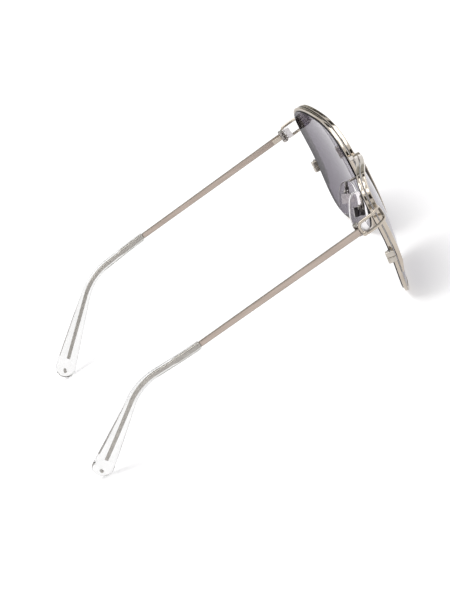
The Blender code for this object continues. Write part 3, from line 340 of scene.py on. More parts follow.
rim_rear = -RIM_SETBACK
rim_front = rim_rear - RIM_DEPTH
rim_middle = (rim_rear + rim_front) / 2
rim_section = soften(
    [(RIM_OUTER, rim_front), (RIM_OUTER + RIM_CROWN, rim_middle), (RIM_OUTER, rim_rear),
     (-RIM_INNER, rim_rear), (-RIM_INNER, rim_middle + GROOVE_WIDTH / 2),
     (GROOVE_DEPTH - RIM_INNER, rim_middle), (-RIM_INNER, rim_middle - GROOVE_WIDTH / 2),
     (-RIM_INNER, rim_front)],
    np.repeat([RIM_ROUNDING, RIM_CROWN], [3, 5]))
lock_arc = arc_at_height(-LOCK_BELOW_MIDDLE, True)
rim_arc = np.linspace(lock_arc + LOCK_SPLIT / 2, lock_arc + OUTLINE_LENGTH - LOCK_SPLIT / 2, RIM_STATIONS)
rim_wires = []
for side_name in SIDES:
    rings = along_rim(rim_arc, rim_section, side_name)
    rim_wires.append(make_piece(side_name + "_rim_wire", [(rings, "flat")], plating, side_name + "_eyewire"))

# The trims
# A second strip is soldered to the front of each rim, from low on its outer side over the top to low on the
# nose side. Its edges are rounded, and it thins out at both ends. A fine gap between the two has painted
# shade.
TRIM_GAP = 0.00025
TRIM_DEPTH = 0.0018
TRIM_OUTER = 0.0011
TRIM_INNER = 0.0002
TRIM_ROUNDING = 0.00042
TRIM_LOW_HEIGHT = 0.0125
TRIM_END_TAPER = 0.0050
TRIM_END_DEPTH = 0.0006
TRIM_STATIONS = 800

trim_start = arc_at_height(-TRIM_LOW_HEIGHT, True) - OUTLINE_LENGTH
trim_end = arc_at_height(-TRIM_LOW_HEIGHT, False)
trim_arc = np.linspace(trim_start, trim_end, TRIM_STATIONS)
from_end = np.minimum(trim_arc - trim_start, trim_end - trim_arc)
trim_depth = np.interp(from_end, (0, TRIM_END_TAPER), (TRIM_END_DEPTH, TRIM_DEPTH))
trim_unit = soften([(TRIM_OUTER, -TRIM_DEPTH), (TRIM_OUTER, 0), (-TRIM_INNER, 0), (-TRIM_INNER, -TRIM_DEPTH)],
                   TRIM_ROUNDING, steps=7)
trim_section = np.repeat(trim_unit[None], TRIM_STATIONS, axis=0)
trim_section[..., 1] = rim_front - TRIM_GAP + trim_section[..., 1] * (trim_depth / TRIM_DEPTH)[:, None]


def painted_shade_mark(from_joint, outward, inner):
    """Painted shade next to the soldered joint, fading over its reach, and on the inner wall of the section.
    """
    fade = np.clip(1 - from_joint / GROOVE_SHADE_REACH, 0, 1) ** GROOVE_SHADE_FADE_POWER
    return np.maximum(fade, np.where(outward < -inner * INNER_WALL_SHARE, INNER_SHADE, 0))


# Painted shade darkens the groove between each trim and its rim, and the inner walls of both.
trim_groove_shade = painted_shade_mark(-trim_unit[:, 1], trim_unit[:, 0], TRIM_INNER)
rim_groove_shade = painted_shade_mark(rim_section[:, 1] - rim_front, rim_section[:, 0], RIM_INNER)
under_trim = (rim_arc - trim_start) % OUTLINE_LENGTH < trim_end - trim_start
for wire in rim_wires:
    mark_points(wire, "painted_groove_shade", (under_trim[:, None] * rim_groove_shade).ravel())
for side_name in SIDES:
    rings = along_rim(trim_arc, trim_section, side_name)
    strip = make_piece(side_name + "_trim_strip", [(rings, "flat")], plating, side_name + "_rim_trim")
    mark_points(strip, "painted_groove_shade", np.tile(trim_groove_shade, TRIM_STATIONS))

# The lenses
# Each lens is cut from a spherical blank of tinted resin, grey with a lilac tone, and has a bevel round its
# edge that sits in the rim's groove. Its polished faces have a thin hard coat, and its cut edge is matt.
LENS_THICKNESS = 0.0018
LENS_EDGE_GAP = 0.00012
BEVEL_HEIGHT = 0.00062
BEVEL_WIDTH = 0.0008
BEVEL_RINGS = 3
LENS_STATIONS = 300
LENS_RING_SHARES = np.append(np.linspace(0.04, 0.76, 10), [0.83, 0.89, 0.94, 0.97, 0.99, 1.0])


def tinted_resin():
    """Clear resin with a lilac-grey dye, a little uneven, under a coat with a violet sheen."""
    material = finish_of("tinted_resin", (0.10, 0.087, 0.11), 0.02, 0.0)
    shader = material.node_tree.nodes["Principled BSDF"]
    shader.inputs["Transmission Weight"].default_value = 1.0
    shader.inputs["IOR"].default_value = 1.42
    shader.inputs["Specular Tint"].default_value = (0.97, 0.92, 1.0, 1.0)
    shader.inputs["Coat Weight"].default_value = 0.08
    shader.inputs["Coat Roughness"].default_value = 0.02
    shader.inputs["Coat Tint"].default_value = (0.93, 0.88, 1.0, 1.0)
    vary_colour(material, grain(material, 22, detail=1.0), (0.092, 0.080, 0.101), (0.108, 0.094, 0.118))
    vary_roughness(material, grain(material, 120), 0.0, 0.012)
    return material


def cut_edge():
    """The ground edge of the lens: matt, nearly black where the dye is seen from the side."""
    material = finish_of("cut_lens_edge", (0.02, 0.018, 0.022), 0.5, 0.0)
    tones = (0.012, 0.011, 0.013), (0.04, 0.036, 0.042)
    return age(material, (900, 2400, 3000), tones, (0.35, 0.6), 0.000008)


resin, ground_edge = tinted_resin(), cut_edge()
lens_u, lens_v, lens_normal_u, lens_normal_v = outline_at(
    np.linspace(0, OUTLINE_LENGTH, LENS_STATIONS, endpoint=False))
edge_u = lens_u - lens_normal_u * (RIM_INNER + LENS_EDGE_GAP)
edge_v = lens_v - lens_normal_v * (RIM_INNER + LENS_EDGE_GAP)
bevel_place = lens_fall(lens_u, lens_v) + rim_middle


def lens_rings():
    """Rings of a left lens: rear face outward, over the bevel, and front face inward.

    Each face's ring is the edge outline times a share, at the depth of the sphere there.
    """
    share = LENS_RING_SHARES[:, None]
    face_u, face_v = share * edge_u, share * edge_v
    rear = np.stack([face_u, lens_fall(face_u, face_v), face_v], axis=-1)
    front = (rear - (0, LENS_THICKNESS, 0))[::-1]
    apex_u, apex_v = edge_u + lens_normal_u * BEVEL_HEIGHT, edge_v + lens_normal_v * BEVEL_HEIGHT
    bevel = np.stack([
        np.stack([edge_u, bevel_place + BEVEL_WIDTH / 2, edge_v], axis=-1),
        np.stack([apex_u, bevel_place, apex_v], axis=-1),
        np.stack([edge_u, bevel_place - BEVEL_WIDTH / 2, edge_v], axis=-1)])
    return np.concatenate([rear, bevel, front])


for side_name, side in SIDES.items():
    rings = rim_to_world(lens_rings() * (side, 1, 1), side_name)
    lens = make_piece(side_name + "_tinted_lens", [(rings, "pole")], [resin, ground_edge],
                      side_name + "_lens", sharp=28.0)
    face_ring = np.arange(len(lens.data.polygons)) // LENS_STATIONS
    past_rear = face_ring - (len(LENS_RING_SHARES) - 1)
    edge_faces = (past_rear >= 0) & (past_rear <= BEVEL_RINGS)
    lens.data.polygons.foreach_set("material_index", edge_faces.astype(np.int32))

# The bridge
# One flat bar is forged into a low arch, filed to fit the nose side of both rims and soldered there.
BRIDGE_DEPTH = 0.0036
BRIDGE_THICKNESS = 0.0020
BRIDGE_ROUNDING = 0.0006
BRIDGE_INTO_RIM = 0.0006
BRIDGE_STATIONS = 90

bridge_low, bridge_high = (np.array(corner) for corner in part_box("bridge"))
bridge_rise = bridge_high[2] - bridge_low[2] - BRIDGE_THICKNESS
bridge_advance = bridge_high[1] - bridge_low[1] - BRIDGE_DEPTH
bridge_x = np.linspace(-1, 1, BRIDGE_STATIONS) * (bridge_high[0] + BRIDGE_INTO_RIM)
bridge_angle = np.clip(math.pi * bridge_x / bridge_high[0], -math.pi, math.pi)
bridge_lift = (1 + np.cos(bridge_angle)) / 2
bridge_slope = -bridge_rise * math.pi / bridge_high[0] / 2 * np.sin(bridge_angle)
bridge_middle = np.stack([bridge_x, bridge_high[1] - BRIDGE_DEPTH / 2 - bridge_advance * bridge_lift,
                          bridge_low[2] + BRIDGE_THICKNESS / 2 + bridge_rise * bridge_lift], axis=-1)
bridge_up = np.stack(np.broadcast_arrays(-bridge_slope, 0.0, 1.0), axis=-1)
bridge_up = bridge_up / np.linalg.norm(bridge_up, axis=1, keepdims=True)
bridge_section = soft_bar(BRIDGE_DEPTH, BRIDGE_THICKNESS, BRIDGE_ROUNDING, steps=7)
bridge_rings = (bridge_middle[:, None] + bridge_section[None, :, :1] * np.array([0, 1, 0])
                + bridge_section[None, :, 1:] * bridge_up[:, None])
make_piece("bridge_bar", [(bridge_rings, "flat")], plating, "bridge")

# The rim locks
# Two small blocks are soldered to the outside of each rim, one on each side of its cut, and a slotted steel
# screw draws them together to hold the lens. The blocks have well rounded corners.
LOCK_HEIGHT = 0.0050
LOCK_WIDTH = 0.0020
LOCK_DEPTH = 0.0036
LOCK_ROUNDING = 0.0005
LOCK_SCREW_DEPTH_SHARE = 0.45
LOCK_HEAD_RADIUS = 0.00085
LOCK_HEAD_HEIGHT = 0.0005
LOCK_HEAD_SUNK = LOCK_HEAD_HEIGHT / 2
HEAD_ROUNDING_SHARE = 0.35
HEAD_UNDERSIDE_SHARE = 0.5
HEAD_RING_SHARES = (0.9, 0.75, 0.55, 0.35)
HEAD_MIDDLE_SHARE = 0.06
SLOT_WIDTH_SHARE = 0.17
SLOT_DEPTH_SHARE = 0.55
SLOT_RING_SHARES = (1.03, 0.97)
SLOT_FLOOR_SHARE = 0.96
SLOT_POINTS = 5
LAND_POINTS = 16
EDGE_STEPS = 6


def soft_block(low, high, rounding):
    """Rings of a block with rounded edges, stacked along Z.

    Near each end the section draws in along a quarter circle, and each section's corners are parabolas.
    """
    low, high = np.minimum(low, high).astype(float), np.maximum(low, high).astype(float)
    quarter = np.linspace(0, math.pi / 2, EDGE_STEPS)
    inset, rise = rounding * (1 - np.sin(quarter)), rounding * (1 - np.cos(quarter))
    height = np.concatenate([low[2] + rise, high[2] - rise[::-1]])
    inset = np.concatenate([inset, inset[::-1]])
    middle, half = (low + high)[:2] / 2, (high - low)[:2] / 2
    unit = soft_bar(*(high - low)[:2], rounding, steps=6)
    scale = (half - inset[:, None]) / half
    flat = unit[None] * scale[:, None] + middle
    level = np.broadcast_to(height[:, None, None], (*flat.shape[:2], 1))
    return np.concatenate([flat, level], axis=-1)


def slotted_head(radius, base, height):
    """Rings about Z of a screw head with a rounded edge and a slot along X.

    The points of each ring are shared out so that some stand at the slot's two walls, where the sine of the
    angle is the slot's half width over the ring's radius. Between the walls the surface stays at or under
    the slot's floor.
    """
    half = radius * SLOT_WIDTH_SHARE
    wall_shares = SLOT_WIDTH_SHARE * np.array(SLOT_RING_SHARES)
    inner_shares = np.array([*HEAD_RING_SHARES, *wall_shares, HEAD_MIDDLE_SHARE])
    edge = np.linspace(0, math.pi / 2, EDGE_STEPS)
    round_off = HEAD_ROUNDING_SHARE * height
    r = np.concatenate([[radius * HEAD_UNDERSIDE_SHARE, radius], radius - round_off * (1 - np.cos(edge)),
                        radius * inner_shares])
    rise = height - round_off * (1 - np.sin(edge))
    z = base + np.concatenate([[0, 0], rise, np.full(len(inner_shares), height)])
    wall = np.arcsin(np.clip(half / r, 0, 1))[:, None]
    inside = wall * np.linspace(-SLOT_FLOOR_SHARE, SLOT_FLOOR_SHARE, SLOT_POINTS)
    land = wall + (math.pi - 2 * wall) * np.linspace(0, 1, LAND_POINTS)
    angle = np.concatenate([inside, land, inside + math.pi, land + math.pi], axis=1)
    in_slot = np.tile(np.arange(SLOT_POINTS + LAND_POINTS) < SLOT_POINTS, 2) | (r < half)[:, None]
    floor = base + height * (1 - SLOT_DEPTH_SHARE)
    z = np.where(in_slot, np.minimum(z[:, None], floor), z[:, None])
    return np.stack([r[:, None] * np.cos(angle), r[:, None] * np.sin(angle), z], axis=-1)


def lock_frame(side_name):
    """Middle of the lock on the outline, and its outward, rearward and upward directions, in the world."""
    side = SIDES[side_name]
    u, v, normal_u, normal_v = (float(row[0]) for row in outline_at(np.array([lock_arc])))
    turn = rim_turn(side)
    middle = rim_to_world(np.array([side * u, lens_fall(u, v), v]), side_name)
    axes = np.array([(side * normal_u, 0, normal_v), (0, 1, 0), (-side * normal_v, 0, normal_u)])
    return middle, axes @ turn.T


def turned(profile, steps=48):
    """A profile of (height, radius) points turned about Z, one ring for each."""
    turn = around(steps)
    z, r = (np.asarray(profile)[:, k, None] for k in (0, 1))
    return np.stack(np.broadcast_arrays(r * np.cos(turn), r * np.sin(turn), z), axis=-1)


def laid_along_x(rings):
    """Rings about Z, turned so that they are about X."""
    return rings[..., [2, 0, 1]]


def screw_steel():
    """Turned steel with a fine rough grain, a little darker than the plating."""
    material = finish_of("screw_steel", (0.42, 0.405, 0.38), 0.25, 1.0)
    tones = (0.33, 0.315, 0.295), (0.50, 0.48, 0.45)
    return age(material, (700, 3000, 2600), tones, (0.16, 0.38), 0.000004)


def satin_plating():
    """The same plating left satin from the barrel, since the blocks are too small to buff."""
    material = finish_of("satin_plating", (0.50, 0.465, 0.415), 0.42, 1.0)
    tones = (0.44, 0.405, 0.36), (0.56, 0.52, 0.465)
    return age(material, (500, 800, 900), tones, (0.34, 0.5), 0.000002)


steel, satin = screw_steel(), satin_plating()
lock_inner, lock_outer = RIM_OUTER - LOCK_SPLIT / 2, RIM_OUTER + TRIM_GAP + LOCK_WIDTH
lock_screw_at = (RIM_OUTER + TRIM_GAP + LOCK_WIDTH / 2, rim_front + LOCK_DEPTH * LOCK_SCREW_DEPTH_SHARE, 0)
lock_head = slotted_head(LOCK_HEAD_RADIUS, LOCK_HEIGHT / 2 - LOCK_HEAD_SUNK,
                         LOCK_HEAD_HEIGHT + LOCK_HEAD_SUNK) + lock_screw_at
for side_name in SIDES:
    middle, axes = lock_frame(side_name)
    for label, direction in (("upper", 1), ("lower", -1)):
        block = soft_block((lock_inner, rim_front, direction * LOCK_SPLIT / 2),
                           (lock_outer, rim_front + LOCK_DEPTH, direction * LOCK_HEIGHT / 2), LOCK_ROUNDING)
        make_piece(f"{side_name}_lock_{label}_block", [(middle + block @ axes, "flat")], satin,
                   f"{side_name}_rim_lock_{label}", flatten=True)
    make_piece(side_name + "_lock_screw_head", [(middle + lock_head @ axes, "pole")], steel,
               side_name + "_rim_lock_screw")

# The end pieces
# Each is a flat wire bent into a closed loop with round corners, its ends brazed together, and then curved
# round the corner of the rim, where its front bar is soldered on. The hinge sits on its rear bar.
LEAF_OUTER = 0.00115
WIRE_GAP = 0.00025
LOOP_HEIGHT = 0.0066
LOOP_ABOVE_HINGE = 0.0003
LOOP_WIDTH = 0.0012
LOOP_THICKNESS = 0.0011
LOOP_ROUNDING = 0.00042
LOOP_CORNER_RADIUS = 0.0020
LOOP_LENGTH = 0.0142
LOOP_STRAIGHT = 0.0066
LOOP_BEND_RADIUS = 0.0046
LOOP_BEND = math.radians(75.0)
LOOP_STATIONS = 240
LOOP_SHADE = 0.8


def hinge_to_world(points, side_name):
    """Points of a temple's own frame (outward, along the temple, up the hinge pin) placed on the frame."""
    joint = joints[side_name + "_temple_fold"]
    up = np.array(joint["axis"]) * math.copysign(1, joint["axis"][2])
    back = np.array([0, up[2], -up[1]])
    return points @ np.stack([(SIDES[side_name], 0, 0), back, up]) + joint["pos_m"]


def loop_line():
    """Centre line of the flat loop, as distance forward of the hinge and height, and its outward direction.

    A rectangle with round corners, walked at an even pace: four quarter circles joined by straight bars.
    """
    rear, front = WIRE_GAP / 2 + LOOP_WIDTH / 2, WIRE_GAP / 2 + LOOP_LENGTH - LOOP_WIDTH / 2
    top = LOOP_HEIGHT / 2 - LOOP_WIDTH / 2
    r = LOOP_CORNER_RADIUS
    middles = np.array([(front - r, top - r), (rear + r, top - r), (rear + r, r - top), (front - r, r - top)])
    angle = np.linspace(0, 2 * math.pi, LOOP_STATIONS, endpoint=False)
    away = np.stack([np.cos(angle), np.sin(angle)], axis=-1)
    corner = middles[(angle // (math.pi / 2)).astype(int)]
    dense = corner + r * away
    step = np.linalg.norm(np.roll(dense, -1, axis=0) - dense, axis=1)
    arc = np.concatenate([[0.0], np.cumsum(step)])
    even = np.linspace(0, arc[-1], LOOP_STATIONS, endpoint=False)
    rows = [np.interp(even, arc, np.append(row, row[0])) for row in (*dense.T, *away.T)]
    line, away = np.stack(rows[:2], axis=-1), np.stack(rows[2:], axis=-1)
    return line, away / np.linalg.norm(away, axis=1, keepdims=True)


def loop_bend(distance):
    """Plan place and outward normal at a distance forward: straight, then an arc, then straight."""
    angle = np.clip((distance - LOOP_STRAIGHT) / LOOP_BEND_RADIUS, 0, LOOP_BEND)
    beyond = np.maximum(distance - LOOP_STRAIGHT - LOOP_BEND_RADIUS * LOOP_BEND, 0)
    middle = LEAF_OUTER + WIRE_GAP + LOOP_THICKNESS / 2
    x = middle - LOOP_BEND_RADIUS * (1 - np.cos(angle)) - beyond * np.sin(angle)
    y = -np.minimum(distance, LOOP_STRAIGHT) - LOOP_BEND_RADIUS * np.sin(angle) - beyond * np.cos(angle)
    return np.stack([x, y], axis=-1), np.stack([np.cos(angle), -np.sin(angle)], axis=-1)


loop_flat, loop_away = loop_line()
loop_section = soft_bar(LOOP_WIDTH, LOOP_THICKNESS, LOOP_ROUNDING, steps=6)
loop_across = loop_flat[:, None] + loop_section[None, :, :1] * loop_away[:, None]
loop_place, loop_normal = loop_bend(loop_across[..., 0])
loop_plan = loop_place + loop_section[None, :, 1:] * loop_normal
loop_rings = np.concatenate([loop_plan, loop_across[..., 1:] + LOOP_ABOVE_HINGE], axis=-1)
# Painted shade on the inner wall of each loop's window.
loop_wall_shade = LOOP_SHADE * np.clip(1 - (LOOP_WIDTH / 2 + loop_section[:, 0]) / LOOP_ROUNDING, 0, 1)
for side_name in SIDES:
    rings = hinge_to_world(loop_rings, side_name)
    loop = make_piece(side_name + "_loop_end_piece", [(rings, "closed")], plating, side_name + "_end_piece")
    mark_points(loop, "painted_groove_shade", np.tile(loop_wall_shade, LOOP_STATIONS))

# The hinges
# Each hinge has a front leaf with two knuckles, riveted through the loop, and a temple leaf with one knuckle
# between them. A slotted steel screw is the pin, and the rivet's round head shows in the loop.
HINGE_HEIGHT = 0.0048
MIDDLE_HEIGHT = 0.0020
KNUCKLE_RADIUS = 0.00125
KNUCKLE_GAP = 0.00015
KNUCKLE_EDGE = 0.00018
KNUCKLE_END_SHARE = 0.6
KNUCKLE_SIDES = 64
LEAF_THICKNESS = 0.0006
LEAF_ROUNDING = 0.00018
FRONT_LEAF_LENGTH = 0.0040
TEMPLE_LEAF_LENGTH = 0.0052
PIN_HEAD_RADIUS = 0.00115
PIN_HEAD_HEIGHT = 0.0006
SCREW_GAP = 0.0001
RIVET_RADIUS = 0.0003
RIVET_HEAD_RADIUS = 0.0010
RIVET_HEAD_HEIGHT = 0.0007
RIVET_HEAD_STEPS = 8
RIVET_CORNER = math.radians(40.0)
PIN_RADIUS = 0.00062
PIN_END_SHARE = 0.7


def knuckle(low, high):
    """A barrel about the pin, with its two edges turned down to a small chamfer."""
    small = KNUCKLE_RADIUS - KNUCKLE_EDGE
    profile = [(low, small * KNUCKLE_END_SHARE), (low, small), (low + KNUCKLE_EDGE, KNUCKLE_RADIUS),
               (high - KNUCKLE_EDGE, KNUCKLE_RADIUS), (high, small), (high, small * KNUCKLE_END_SHARE)]
    return turned(profile, KNUCKLE_SIDES)


def leaf_silver():
    """Bare nickel silver of the leaves, milled flat and blasted, cooler and paler than the plating."""
    # Painted near white, standing in for the bright white seen through the loop.
    material = finish_of("leaf_silver", (0.90, 0.88, 0.885), 0.45, 1.0)
    tones = (0.86, 0.84, 0.845), (0.93, 0.91, 0.915)
    return age(material, (300, 300, 600), tones, (0.40, 0.52), 0.0000008)


def knuckle_silver():
    """The same metal on the turned knuckles, painted much darker than the leaves."""
    material = finish_of("knuckle_silver", (0.27, 0.25, 0.23), 0.16, 1.0)
    tones = (0.17, 0.155, 0.14), (0.42, 0.39, 0.37)
    return age(material, (500, 400, 700), tones, (0.12, 0.2), 0.000001)


near_white_leaf, dark_knuckle = leaf_silver(), knuckle_silver()
half_hinge, half_middle = HINGE_HEIGHT / 2, MIDDLE_HEIGHT / 2
outer_knuckle = half_middle + KNUCKLE_GAP
outer_spans = ((outer_knuckle, half_hinge), (-half_hinge, -outer_knuckle))
leaf_inner = LEAF_OUTER - LEAF_THICKNESS
front_leaf = soft_block((leaf_inner, -FRONT_LEAF_LENGTH, -half_hinge),
                        (LEAF_OUTER, -KNUCKLE_RADIUS - WIRE_GAP, half_hinge), LEAF_ROUNDING)
front_webs = [soft_block((leaf_inner, -FRONT_LEAF_LENGTH / 2, low), (LEAF_OUTER, 0, high), LEAF_ROUNDING)
              for low, high in outer_spans]
temple_leaf = soft_block((leaf_inner, 0, -half_middle), (LEAF_OUTER, TEMPLE_LEAF_LENGTH, half_middle),
                         LEAF_ROUNDING)
pin_head = slotted_head(PIN_HEAD_RADIUS, half_hinge + SCREW_GAP / 2, PIN_HEAD_HEIGHT)
pin_end = turned([(-half_hinge + KNUCKLE_GAP, PIN_RADIUS), (-half_hinge - SCREW_GAP / 2, PIN_RADIUS),
                  (-half_hinge - SCREW_GAP, PIN_RADIUS * PIN_END_SHARE)])
rivet_angle = np.linspace(0, math.pi / 2, RIVET_HEAD_STEPS, endpoint=False)
rivet_seat = LEAF_OUTER + WIRE_GAP + LOOP_THICKNESS + SCREW_GAP / 2
rivet_y = -(WIRE_GAP / 2 + LOOP_WIDTH / 2 + LOOP_CORNER_RADIUS * (1 - math.cos(RIVET_CORNER)))
loop_bottom = LOOP_ABOVE_HINGE - (LOOP_HEIGHT - LOOP_WIDTH) / 2
rivet_z = loop_bottom + LOOP_CORNER_RADIUS * (1 - math.sin(RIVET_CORNER))
rivet_dome = np.stack([rivet_seat + RIVET_HEAD_HEIGHT * np.sin(rivet_angle),
                       RIVET_HEAD_RADIUS * np.cos(rivet_angle)], axis=-1)
rivet_profile = [(leaf_inner - SCREW_GAP / 2, RIVET_RADIUS), (rivet_seat, RIVET_RADIUS), *rivet_dome]
rivet = laid_along_x(turned(rivet_profile)) + (0, rivet_y, rivet_z)


def at_hinge(rings, side_name, ends="flat", shade=0):
    """A surface of a hinge's piece, placed on the frame."""
    return hinge_to_world(rings, side_name), ends, shade


for side_name in SIDES:
    front_parts = [at_hinge(part, side_name) for part in (front_leaf, *front_webs)]
    front_parts += [at_hinge(knuckle(*span), side_name, shade=1) for span in outer_spans]
    make_piece(side_name + "_front_leaf", front_parts, [near_white_leaf, dark_knuckle],
               side_name + "_hinge_front_leaf", flatten=True)
    temple_parts = [at_hinge(temple_leaf, side_name),
                    at_hinge(knuckle(-half_middle, half_middle), side_name, shade=1)]
    make_piece(side_name + "_temple_leaf", temple_parts, [plating, dark_knuckle],
               side_name + "_hinge_temple_leaf", body=side_name + "_temple_arm", flatten=True)
    pin_parts = [at_hinge(part, side_name, "pole") for part in (pin_head, pin_end)]
    make_piece(side_name + "_hinge_pin", pin_parts, steel, side_name + "_hinge_screw")
    make_piece(side_name + "_ball_rivet", [at_hinge(rivet, side_name, "pole")], plating,
               side_name + "_hinge_rivet")

# The temples
# Each temple is a flat strip, rolled and brushed along its length, that is ground down at the rear into the
# core wire inside the tip. It leans a little inward and curves toward the ear.
TEMPLE_SLOPE = math.radians(5.6)
METAL_LENGTH = 0.0755
BEND_START = 0.0958
BEND_RADIUS = 0.025
BEND = math.radians(36.9)
STRIP_THICKNESS = 0.0010
STRIP_FRONT_HEIGHT = 0.0030
STRIP_REAR_HEIGHT = 0.0024
STRIP_ROUNDING = 0.00034
TOE_IN = 0.0130
TOE_IN_START = 0.078
TOE_IN_POWER = 1.4
TEMPLE_LEAN = math.radians(0.75)
CORE_FRONT_HEIGHT = 0.0020
CORE_REAR_HEIGHT = 0.0015
CORE_THICKNESS = 0.0009
CORE_FRONT_LENGTH = 0.0110
CORE_STEP_LENGTH = 0.0020
CORE_STOP = 0.0080
PADDLE_WIDTH = 0.0090
PADDLE_END = 0.0042
BRUSHED_STRETCHES = ((40, 1, 14), (50, 1, 22), (60, 1, 30))
TEMPLE_STATIONS = 260

bend_end = BEND_START + BEND_RADIUS * BEND


def side_view(run):
    """Fall angle and place of the temple's line: straight, then a circle's arc, then straight again."""
    angle = np.clip((run - BEND_START) / BEND_RADIUS, 0, BEND)
    beyond = np.maximum(run - bend_end, 0)
    y = np.minimum(run, BEND_START) + BEND_RADIUS * np.sin(angle) + beyond * np.cos(angle)
    z = -BEND_RADIUS * (1 - np.cos(angle)) - beyond * np.sin(angle)
    return angle, y, z


def temple_reach():
    """Length at which the tip's lowest point comes down to the floor, from the height left after the bend."""
    drop = BEND + TEMPLE_SLOPE
    end_drop = PADDLE_END * math.sin(drop)
    end_reach = math.hypot(end_drop, PADDLE_WIDTH / 2 * math.cos(drop)) - end_drop
    _, y, z = side_view(bend_end)
    height = joints["left_temple_fold"]["pos_m"][2] - y * math.sin(TEMPLE_SLOPE) + z * math.cos(TEMPLE_SLOPE)
    return bend_end + (height - end_reach) / math.sin(drop)


TEMPLE_RUN = temple_reach()


def temple_x(run):
    """Distance outside the pin: a slight lean inward, then a power curve toward the ear."""
    progress = np.clip((run - TOE_IN_START) / (TEMPLE_RUN - TOE_IN_START), 0, None)
    lean = np.maximum(run - TEMPLE_LEAF_LENGTH, 0) * math.tan(TEMPLE_LEAN)
    return LEAF_OUTER + WIRE_GAP + STRIP_THICKNESS / 2 - lean - TOE_IN * progress ** TOE_IN_POWER


def along_temple(run, across, upward, side_name):
    """Sections of (across, upward) points stood square to the temple's line in its side view."""
    angle, y, z = (row[:, None] for row in side_view(run))
    x = temple_x(run)[:, None] + across
    rings = np.stack([x, y + np.sin(angle) * upward, z + np.cos(angle) * upward], axis=-1)
    return hinge_to_world(rings, side_name)


def brushed_strip():
    """Warm silver plating over metal brushed along the temple, fine lengthwise lines, painted edge shade."""
    material = finish_of("brushed_strip", (0.44, 0.37, 0.32), 0.3, 1.0)
    tones = (0.40, 0.335, 0.29), (0.475, 0.40, 0.35)
    age(material, (60, 90, 110), tones, (0.20, 0.38), 0.00001, BRUSHED_STRETCHES)
    darken_where(material, "painted_edge_shade", (0.13, 0.115, 0.095))
    return material


def core_wire():
    """Bare nickel silver, rolled and left grey, as it shows through the clear tip."""
    material = finish_of("core_wire", (0.48, 0.455, 0.42), 0.35, 1.0)
    tones = (0.42, 0.395, 0.365), (0.53, 0.505, 0.465)
    return age(material, (70, 120, 130), tones, (0.25, 0.42), 0.00001, BRUSHED_STRETCHES)


brushed, bare_core = brushed_strip(), core_wire()
core_step = METAL_LENGTH + CORE_FRONT_LENGTH
front_places = (WIRE_GAP / 2, WIRE_GAP / 2 + STRIP_ROUNDING / 3, WIRE_GAP / 2 + STRIP_ROUNDING)
strip_places = (0, METAL_LENGTH - WIRE_GAP, METAL_LENGTH, core_step, core_step + CORE_STEP_LENGTH)
strip_heights = (STRIP_FRONT_HEIGHT, STRIP_REAR_HEIGHT, CORE_FRONT_HEIGHT, CORE_FRONT_HEIGHT,
                 CORE_REAR_HEIGHT)
even_run = np.linspace(WIRE_GAP, TEMPLE_RUN - CORE_STOP, TEMPLE_STATIONS)
strip_run = np.unique(np.concatenate([front_places, strip_places[1:], even_run]))
strip_height = np.interp(strip_run, strip_places, strip_heights)
strip_thick = np.interp(strip_run, strip_places[1:3], (STRIP_THICKNESS, CORE_THICKNESS))
front_round = np.interp(strip_run, front_places, (STRIP_ROUNDING, STRIP_ROUNDING / 3, 0))
strip_unit = soft_bar(STRIP_THICKNESS, STRIP_FRONT_HEIGHT, STRIP_ROUNDING, steps=6)
strip_across = strip_unit[None, :, 0] * ((strip_thick - front_round) / STRIP_THICKNESS)[:, None]
strip_upward = np.sign(strip_unit[None, :, 1]) * (strip_height / 2 - front_round)[:, None]
strip_upward = strip_upward + (strip_unit[:, 1] - np.sign(strip_unit[:, 1]) * STRIP_FRONT_HEIGHT / 2)[None]
# Painted shade along the strip's top and bottom edges.
edge_shade_mark = np.clip(1 - (STRIP_FRONT_HEIGHT / 2 - np.abs(strip_unit[:, 1])) / STRIP_ROUNDING, 0, 1)
for side_name in SIDES:
    rings = along_temple(strip_run, strip_across, strip_upward, side_name)
    strip = make_piece(side_name + "_temple_strip", [(rings, "flat")], [brushed, bare_core],
                       side_name + "_temple", body=side_name + "_temple_arm", flatten=True)
    mark_points(strip, "painted_edge_shade", np.tile(edge_shade_mark, len(strip_run)))
    face_ring = np.minimum(np.arange(len(strip.data.polygons)) // len(strip_unit), len(strip_run) - 1)
    in_tip = strip_run[face_ring] >= METAL_LENGTH
    strip.data.polygons.foreach_set("material_index", in_tip.astype(np.int32))

# The temple tips
# Each tip is cut from clear acetate, heated and pushed over the core wire, then bent behind the ear. It is
# flat-sided, widens into a paddle with a round end, and is tumbled to a deep gloss.
TIP_FRONT_HEIGHT = 0.0036
TIP_BEND_HEIGHT = 0.0043
TIP_FRONT_THICKNESS = 0.0026
TIP_THICKNESS = 0.0031
TIP_FRONT_ROUNDING = 0.0008
TIP_SQUARENESS = 2.8
TIP_FRONT_STATIONS = 9
TIP_STATIONS = 150
TIP_END_STATIONS = 22
TIP_SECTION_POINTS = 72
EDGE_SHADE_SPAN = (0.62, 0.92)
STUD_RADIUS = 0.0007
STUD_FACE_SHARE = 0.8
STUD_WALL_SHARE = 0.96
STUD_FROM_END = 0.0027
STUD_INSET = 0.0002


def darken_at_edge(material, dark):
    """Clear plastic is painted darker where seen edge on, standing in for dark surroundings seen through its
    edges.
    """
    tree = material.node_tree
    colour = tree.nodes["Principled BSDF"].inputs["Base Color"]
    facing = tree.nodes.new("ShaderNodeLayerWeight")
    reach = tree.nodes.new("ShaderNodeMapRange")
    reach.inputs["From Min"].default_value, reach.inputs["From Max"].default_value = EDGE_SHADE_SPAN
    blend = tree.nodes.new("ShaderNodeMixRGB")
    blend.inputs["Color2"].default_value = (*dark, 1.0)
    tree.links.new(facing.outputs["Facing"], reach.inputs["Value"])
    tree.links.new(reach.outputs["Result"], blend.inputs["Fac"])
    tree.links.new(colour.links[0].from_socket, blend.inputs["Color1"])
    tree.links.new(blend.outputs["Color"], colour)


